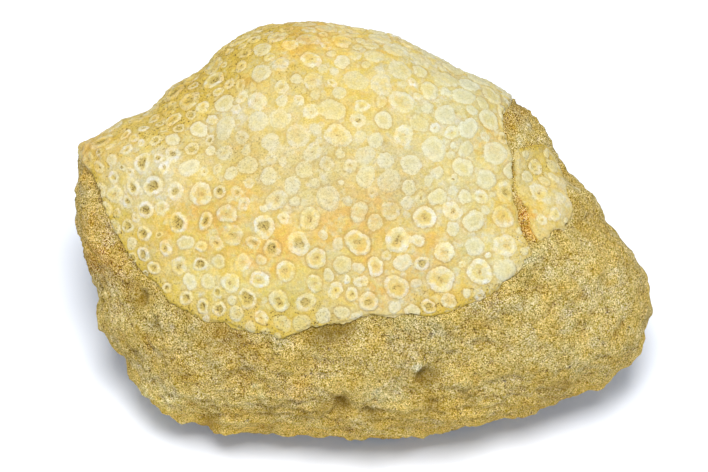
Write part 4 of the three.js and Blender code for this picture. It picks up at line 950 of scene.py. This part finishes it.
def enamelPaint():
    c = enamelColours
    p = Paint("tooth_enamel")
    inside, pit, rimWide = p.own("inside"), p.own("pit"), p.own("rimWide")
    tone, tint, hollow, bold = p.own("tone"), p.own("tint"), p.own("hollow"), p.own("bold")
    yellow, pale, orange, dirty = p.own("yellow"), p.own("pale"), p.own("orange"), p.own("dirt")
    soft, grey = p.own("soft"), p.own("grey")
    broad, blotch, patch = p.noise(4.5, 3.0), p.noise(1.3, 4.0, 0.6), p.noise(0.7, 3.0, 0.6)
    fine, speck, grit = p.noise(0.28, 3.0, 0.65), p.noise(0.15, 2.0, 0.6), p.noise(0.2, 2.0, 0.7)

    # The cement between the teeth
    ripe = blotch + 0.5 * (broad - 0.5) + 0.16 * (yellow - pale)  # from cream to yellow
    cement = p.mix(p.band(ripe, 0.4, 0.6), c["cement"], c["cementYellow"])
    cement = p.mix(pale * p.band(patch, 0.6, 0.42) * 0.8, cement, c["pale"])
    cement = p.mix(yellow * p.band(patch, 0.38, 0.58) * 0.9, cement, c["yellow"])
    ghost = p.cells(1.3) + 0.35 * (patch - 0.5)  # worn teeth that hardly show in the cement
    cement = p.mix(p.band(ghost, 0.34, 0.26) * 0.5, cement, c["tooth"])
    ghostLine = p.band(ghost, 0.3, 0.36) * p.band(ghost, 0.46, 0.38) * p.band(blotch, 0.42, 0.6)
    cement = p.mix(ghostLine * 0.35, cement, c["outline"])

    # A tooth with its pale ring, and a yellow core where it is worn
    worn = p.band(hollow, 0.15, 0.45)
    yellower = p.band(tint + 0.9 * (patch - 0.5), 0.35, 0.9) * (0.5 + 0.5 * worn)
    body = p.mix(yellower, c["tooth"], c["toothYellow"])
    yellower = yellow * p.band(blotch, 0.38, 0.62) * (0.3 + 0.7 * worn + 0.9 * dirty)
    body = p.mix(yellower, body, c["toothYellow"])
    edge = inside + 0.34 * (patch - 0.5) + 0.24 * (fine - 0.5)
    strength = tone * (0.45 + 0.55 * bold)
    core = p.band(edge, rimWide, rimWide + 0.3)
    ring = (1 - core) * p.band(blotch + 0.5 * (fine - 0.5) + 0.3 * strength, 0.4, 0.62)
    body = p.mix(ring * (0.3 + 0.3 * worn + 0.4 * strength), body, c["rim"])
    body = p.mix(core * (0.15 + 0.45 * p.band(tint, 0.3, 1.0) + 0.4 * soft) * worn, body, c["core"])
    solid = p.band(edge, -0.05 - 0.12 * soft, 0.07 + 0.12 * soft) * (0.55 + 0.45 * strength)
    colour = p.mix(solid, cement, body)

    # Clouds, glazes and stains, which keep mostly off the whole teeth
    mottled = 1 - 0.8 * solid * (1 - worn)
    zones = {"yellow": yellow, "orange": orange, "grey": grey, "cream": pale - 0.5 * yellow,
             "soft": soft, "pale": pale, "peach": orange - 0.4}
    for size, low, high, share, zone, cloudColour in enamelClouds:
        cloud = p.band(p.noise(size, 3.0, 0.6), low, high) * (0.4 + 0.6 * zones[zone]) * mottled
        colour = p.mix(cloud * share, colour, c[cloudColour])
    for size, low, high, share, zone, glaze in enamelGlazes:
        cloud = p.band(p.noise(size, 2.0, 0.5), low, high) * (0.5 + 0.5 * zones[zone]) * mottled
        colour = p.mix(cloud * share, colour, c[glaze], "MULTIPLY")
    # Painted shade, darkest over the plate's upper right
    colour = p.mix(p.own("paintedShade"), colour, c["paintedShadeTint"], "MULTIPLY")
    stain = orange * p.band(patch + 0.6 * (blotch - 0.5), 0.38, 0.62)
    colour = p.mix(stain * (1 - 0.65 * solid * (1 - 0.35 * core)), colour, c["orange"])
    colour = p.mix(grey * p.band(blotch, 0.3, 0.7) * 0.7 * mottled, colour, c["grey"])

    # The line round each tooth, and the hollow in it
    line = p.band(edge, -0.26, -0.06) * (1 - p.band(edge, -0.03, 0.08))
    line = line * (1 - 0.45 * pale) * (1 - 0.6 * soft)
    line = line * p.band(blotch + 0.35 * (tint - 0.5), 0.38, 0.62) * (0.5 + 0.5 * strength)
    colour = p.mix(line * (0.7 + 0.3 * dirty), colour, c["outline"])
    pitColour = p.mix(p.band(hollow, 0.8, 0.5), c["pit"], c["pitOrange"])
    hole = p.band(pit + 1.1 * (fine - 0.5), -0.25, 0.4)
    colour = p.mix(hole * (0.4 + 0.4 * hollow), colour, pitColour)
    gritty = p.band(pit, -0.2, 0.5) * p.band(grit, 0.5, 0.62) * (0.3 + 0.65 * hollow)
    colour = p.mix(gritty, colour, c["pitDeep"])

    # Dirt, most of all at the plate's edge
    margin = p.band(p.own("fromEdge") + 1.6 * (patch - 0.5), 0.8, 0.0)
    dirty = dirty + margin * (0.25 + 0.6 * dirty)
    dirt = dirty * p.band(patch * 0.5 + fine * 0.5 - 0.06 * solid, 0.36, 0.54)
    colour = p.mix(dirt * (0.85 - 0.75 * solid), colour, c["dirt"])
    between = dirty * (1 - 0.75 * solid) * p.band(patch, 0.38, 0.6)
    dark = p.band(grit, 0.54, 0.65) * (0.1 + 1.5 * between + 0.3 * grey)
    colour = p.mix(dark, colour, c["dirtDark"])
    colour = p.scaled(colour, 1 + 0.55 * (speck - 0.5) + 0.4 * (fine - 0.5) + 0.2 * (broad - 0.5))
    rough = 0.55 + 0.2 * fine + 0.15 * dirty - 0.08 * solid
    normal = p.bump(fine, 0.08, 0.8)
    normal = p.bump(speck, 0.05, 0.8, normal)
    return p.finish(colour, rough, normal, {"Specular IOR Level": 0.25})


matrixColours = {
    "sand": (0.575, 0.435, 0.105, 1),
    "sandPale": (0.66, 0.53, 0.19, 1),
    "sandDark": (0.42, 0.285, 0.055, 1),
    "grey": (0.46, 0.41, 0.19, 1),
    "rust": (0.44, 0.255, 0.03, 1),
    "shade": (0.19, 0.11, 0.004, 1),
    "warmTint": (1.0, 0.93, 0.7, 1),
    "coolTint": (1.02, 1.06, 1.3, 1),
    "lightTint": (1.16, 1.2, 1.5, 1),
    "darkTint": (0.74, 0.66, 0.4, 1),
    # painted light low down
    "lowPaintedLight": (1.34, 1.23, 0.78, 1),
    "chalk": (0.76, 0.69, 0.39, 1),
    "ochre": (0.78, 0.46, 0.055, 1),
    "grainStep": (0.7, 0.6, 0.44),  # the same step for the eye in red, green and blue
    "darkest": (0.05, 0.03, 0.006),
}
matrixGlazes = [  # size, where the noise makes one, share, tint
    (3.0, 0.44, 0.58, 0.9, "warmTint"), (2.3, 0.48, 0.6, 0.75, "coolTint"),
    (0.95, 0.48, 0.62, 0.5, "warmTint"), (0.8, 0.48, 0.62, 0.4, "coolTint"),
    (0.6, 0.56, 0.66, 0.3, "lightTint"), (0.75, 0.58, 0.68, 0.4, "darkTint"),
    (1.7, 0.52, 0.66, 0.3, "lightTint"), (1.9, 0.54, 0.66, 0.3, "darkTint"),
]


# Painted light low down, and painted shade on faces that look down
def byLight(p, colour):  # lighter low down, and darker where the ground looks down
    colour = p.mix(p.own("low"), colour, matrixColours["lowPaintedLight"], "MULTIPLY")
    return p.mix(p.own("under") * 0.45, colour, matrixColours["shade"])


def lighter(p, colour, amount):
    raised = p.vectors("ADD", colour, p.scaled(matrixColours["grainStep"], amount))
    return p.vectors("MAXIMUM", raised, matrixColours["darkest"])


def matrixPaint():
    c = matrixColours
    p = Paint("sandy_matrix")
    deep = p.own("deep")
    broad, blotch = p.noise(6.0, 3.0), p.noise(1.6, 4.0, 0.65)
    fine, grit = p.noise(0.4, 3.0, 0.7), p.cells(0.13)
    colour = p.mix(p.band(broad, 0.38, 0.62) * 0.5, c["sand"], c["sandPale"])
    colour = p.mix(p.band(blotch, 0.54, 0.74) * 0.35, colour, c["sandDark"])
    colour = p.mix(p.band(blotch, 0.44, 0.28) * 0.5, colour, c["sandPale"])
    colour = p.mix(p.own("greyPatch") * p.band(blotch, 0.25, 0.55), colour, c["grey"])
    colour = p.mix(p.own("rust") * p.band(blotch, 0.3, 0.6), colour, c["rust"])
    colour = p.mix(p.own("dusty") * p.band(fine, 0.3, 0.6), colour, c["sandPale"])
    colour = p.mix(p.own("ochre") * p.band(fine, 0.32, 0.5), colour, c["ochre"])
    colour = p.mix(p.own("chalk") * p.band(fine, 0.3, 0.55), colour, c["chalk"])
    # painted shade in hollows, under the plate's edge and along the crack
    colour = p.mix(p.own("shade") * 0.75, colour, c["shade"])
    # Painted shade in hollows and painted light on rises
    colour = p.mix(p.band(deep + 0.8 * (fine - 0.5), 0.2, 1.1) * 0.5, colour, c["sandDark"])
    colour = p.mix(p.band(deep + 0.8 * (fine - 0.5), -0.2, -1.1) * 0.35, colour, c["sandPale"])
    # painted light low down, and painted shade on faces that look down
    colour = byLight(p, colour)
    pores = p.band(p.noise(0.55, 2.0, 0.5), 0.6, 0.72) * p.band(blotch, 0.45, 0.6)
    colour = p.mix(pores * 0.7, colour, c["shade"])
    lively = 1 - 0.8 * p.own("shade")
    for size, swing in ((0.085, 1.25), (0.15, 0.15)):  # sand and coarser sand
        colour = lighter(p, colour, swing * lively * (p.grains(size) - 0.5))
    colour = lighter(p, colour, -0.25 * p.band(p.noise(0.16, 2.0, 0.6), 0.6, 0.68))
    for size, low, high, share, tint in matrixGlazes:
        cloud = p.band(p.noise(size, 1.5, 0.5), low, high) * share
        colour = p.mix(cloud, colour, c[tint], "MULTIPLY")
    rough = 0.86 + 0.1 * fine
    normal = p.bump(grit, 0.14, 1.0)
    normal = p.bump(fine, 0.1, 0.8, normal)
    return p.finish(colour, rough, normal, {"Specular IOR Level": 0.12})


grainKinds = [  # radii in millimetres, and how far each grain is in the ground, of its radius
    {"name": "paleGrains", "seed": 3, "count": 19500, "least": 0.03, "most": 0.085, "sunk": 0.35,
     "dull": (0.46, 0.34, 0.08, 1), "bright": (0.70, 0.57, 0.22, 1)},
    {"name": "darkGrains", "seed": 8, "count": 12000, "least": 0.03, "most": 0.07, "sunk": 0.45,
     "dull": (0.14, 0.085, 0.005, 1), "bright": (0.40, 0.27, 0.045, 1)},
]


def grainPaint(kind):
    p = Paint(kind["name"])
    c = matrixColours
    tone = p.own("tone")
    colour = p.mix(tone, kind["dull"], kind["bright"])
    colour = p.mix(p.own("chalk") * 0.7, colour, c["chalk"])
    # the painted shade spots, then painted light low down and painted shade on faces that look down
    colour = byLight(p, p.mix(p.own("shade") * 0.85, colour, c["shade"]))
    normal = p.bump(p.noise(0.1), 0.02, 0.3)
    return p.finish(colour, 0.7 + 0.2 * tone, normal, {"Specular IOR Level": 0.3})


grainShape = {
    "sides": 5,
    "rings": 2,
    "mostTurned": (6.28, 6.28, 6.28),
    "leastStretch": (0.6, 0.7, 0.6),
    "mostStretch": (1.3, 1.2, 1.0),
    "turnSeed": 11,
    "stretchSeed": 5,
    "toneSeed": 21,
}


def grainTree(material):
    tree = bpy.data.node_groups.new("sandGrains", "GeometryNodeTree")
    face = tree.interface
    face.new_socket("Geometry", in_out="INPUT", socket_type="NodeSocketGeometry")
    for name, kind in (("Grain count", "Int"), ("Least radius", "Float"), ("Most radius", "Float"),
                       ("Sunk share", "Float"), ("Seed", "Int")):
        face.new_socket(name, in_out="INPUT", socket_type="NodeSocket" + kind)
    face.new_socket("Geometry", in_out="OUTPUT", socket_type="NodeSocketGeometry")

    def node(kind, settings, inputs, output=0):
        made = tree.nodes.new(kind)
        for name, value in settings.items():
            setattr(made, name, value)
        for name, value in inputs.items():
            if isinstance(value, bpy.types.NodeSocket):
                tree.links.new(value, made.inputs[name])
            else:
                made.inputs[name].default_value = value
        return made.outputs[output]

    def maths(operation, first, second):
        return node("ShaderNodeMath", {"operation": operation}, {0: first, 1: second})

    def scaled(vector, factor):
        return node("ShaderNodeVectorMath", {"operation": "SCALE"}, {0: vector, 3: factor})

    def between(kind, inputs, output):  # a random value for each grain
        return node("FunctionNodeRandomValue", {"data_type": kind}, inputs, output)

    given = tree.nodes.new("NodeGroupInput").outputs
    area = node("GeometryNodeAttributeStatistic", {"data_type": "FLOAT", "domain": "FACE"},
                {0: given["Geometry"], 2: node("GeometryNodeInputMeshFaceArea", {}, {})}, "Sum")
    sanded = node("GeometryNodeInputNamedAttribute", {"data_type": "FLOAT"}, {"Name": "sanded"})
    density = maths("MULTIPLY", maths("DIVIDE", given["Grain count"], area), sanded)
    points = node("GeometryNodeDistributePointsOnFaces", {"distribute_method": "RANDOM"},
                  {"Mesh": given["Geometry"], "Density": density, "Seed": given["Seed"]})
    size = between("FLOAT", {2: given["Least radius"], 3: given["Most radius"],
                             "Seed": given["Seed"]}, 1)
    down = maths("MULTIPLY", maths("MULTIPLY", size, given["Sunk share"]), -1.0)
    sunk = node("GeometryNodeSetPosition", {}, {
        "Geometry": points, "Offset": scaled(points.node.outputs["Normal"], down)})
    turned = between("FLOAT_VECTOR", {0: (0, 0, 0), 1: grainShape["mostTurned"],
                                      8: grainShape["turnSeed"]}, 0)
    stretch = between("FLOAT_VECTOR", {0: grainShape["leastStretch"], 1: grainShape["mostStretch"],
                                       8: grainShape["stretchSeed"]}, 0)
    ball = node("GeometryNodeMeshUVSphere", {},
                {0: grainShape["sides"], 1: grainShape["rings"], 2: 1.0})
    grains = node("GeometryNodeInstanceOnPoints", {}, {
        "Points": sunk, "Instance": ball, "Rotation": turned, "Scale": scaled(stretch, size)})
    tone = between("FLOAT", {2: 0.0, 3: 1.0, 8: grainShape["toneSeed"]}, 1)
    toned = node("GeometryNodeStoreNamedAttribute", {"data_type": "FLOAT", "domain": "INSTANCE"},
                 {"Geometry": grains, "Name": "tone", "Value": tone})
    real = node("GeometryNodeRealizeInstances", {}, {"Geometry": toned})
    done = node("GeometryNodeSetMaterial", {}, {"Geometry": real, "Material": material})
    tree.links.new(done, tree.nodes.new("NodeGroupOutput").inputs["Geometry"])
    return tree


def grainPiece(kind, ground):
    tree = grainTree(grainPaint(kind))
    carrier = bpy.data.objects.new(kind["name"], ground.data)
    bpy.context.scene.collection.objects.link(carrier)
    modifier = carrier.modifiers.new("grains", "NODES")
    modifier.node_group = tree
    settings = {
        "Grain count": kind["count"], "Least radius": kind["least"] * 0.001,
        "Most radius": kind["most"] * 0.001, "Sunk share": kind["sunk"], "Seed": kind["seed"],
    }
    for item in tree.interface.items_tree:
        if item.in_out == "INPUT" and item.name in settings:
            modifier[item.identifier] = settings[item.name]
    evaluated = carrier.evaluated_get(bpy.context.evaluated_depsgraph_get())
    grains = bpy.data.meshes.new_from_object(evaluated)
    carrier.modifiers.clear()
    carrier.data = grains
    return carrier


studio = {
    "lens": 240,
    "sensor": 36,
    "frameWidth": 73.9,  # at the brow's plane
    "aim": (-0.99, -0.63),
    "ambient": 0.38,
    "keyPower": 6.2,
    "keySize": 0.31,
    "keyPlace": (0.01, -0.15, 0.77),  # in metres
    "floorHalf": 1500,
    "floorColour": (0.88, 0.9, 0.94, 1),
    "floorRough": 0.9,
    "floorGlow": {"Specular IOR Level": 0.0, "Emission Color": (0.29, 0.54, 1.0, 1),
                  "Emission Strength": 0.13},
}


def buildStudio():
    scene = bpy.context.scene
    scene.view_settings.view_transform = "Standard"
    world = bpy.data.worlds.new("studio")
    world.use_nodes = True
    light = world.node_tree.nodes["Background"].inputs
    light["Color"].default_value = (1, 1, 1, 1)
    light["Strength"].default_value = studio["ambient"]
    scene.world = world
    corners = studio["floorHalf"] * np.array([(-1, -1, 0), (1, -1, 0), (1, 1, 0), (-1, 1, 0)])
    floor = meshPiece("floor", corners, [(0, 1, 2, 3)], False)
    material = Paint("floor").finish(
        studio["floorColour"], studio["floorRough"], None, studio["floorGlow"])
    floor.data.materials.append(material)
    key = bpy.data.lights.new("key", "AREA")
    key.energy = studio["keyPower"]
    key.size = studio["keySize"]
    lamp = bpy.data.objects.new("key", key)
    lamp.location = studio["keyPlace"]
    lamp.rotation_euler = (-Vector(studio["keyPlace"])).to_track_quat("-Z", "Y").to_euler()
    scene.collection.objects.link(lamp)
    cosine, sine = math.cos(lump["faceLean"]), math.sin(lump["faceLean"])
    across, up = studio["aim"]
    middle = lump["middle"]
    aim = Vector((middle[0] + across, middle[1] + up * cosine, middle[2] + up * sine)) * 0.001
    camera = bpy.data.cameras.new("camera")
    camera.lens = studio["lens"]
    camera.sensor_width = studio["sensor"]
    away = studio["lens"] * studio["frameWidth"] / studio["sensor"] * 0.001
    viewer = bpy.data.objects.new("camera", camera)
    back = Vector((0, -sine, cosine))
    viewer.location = aim + back * away
    viewer.rotation_euler = (-back).to_track_quat("-Z", "Y").to_euler()
    scene.collection.objects.link(viewer)
    scene.camera = viewer


buildStudio()
print("studio ready")
enamel = enamelPaint()
for plate in (mainPlate, partedStrip):
    piece = platePiece(plate)
    piece.data.materials.append(enamel)
    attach(piece, "root")
    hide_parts(plate["node"])
    print(plate["name"], len(piece.data.polygons), "faces")
matrix = matrixPiece()
matrix.data.materials.append(matrixPaint())
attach(matrix, "root")
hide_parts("matrix")
print("matrix", len(matrix.data.polygons), "faces")
for kind in grainKinds:
    grains = grainPiece(kind, matrix)
    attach(grains, "root")
    print(kind["name"], len(grains.data.polygons), "faces")
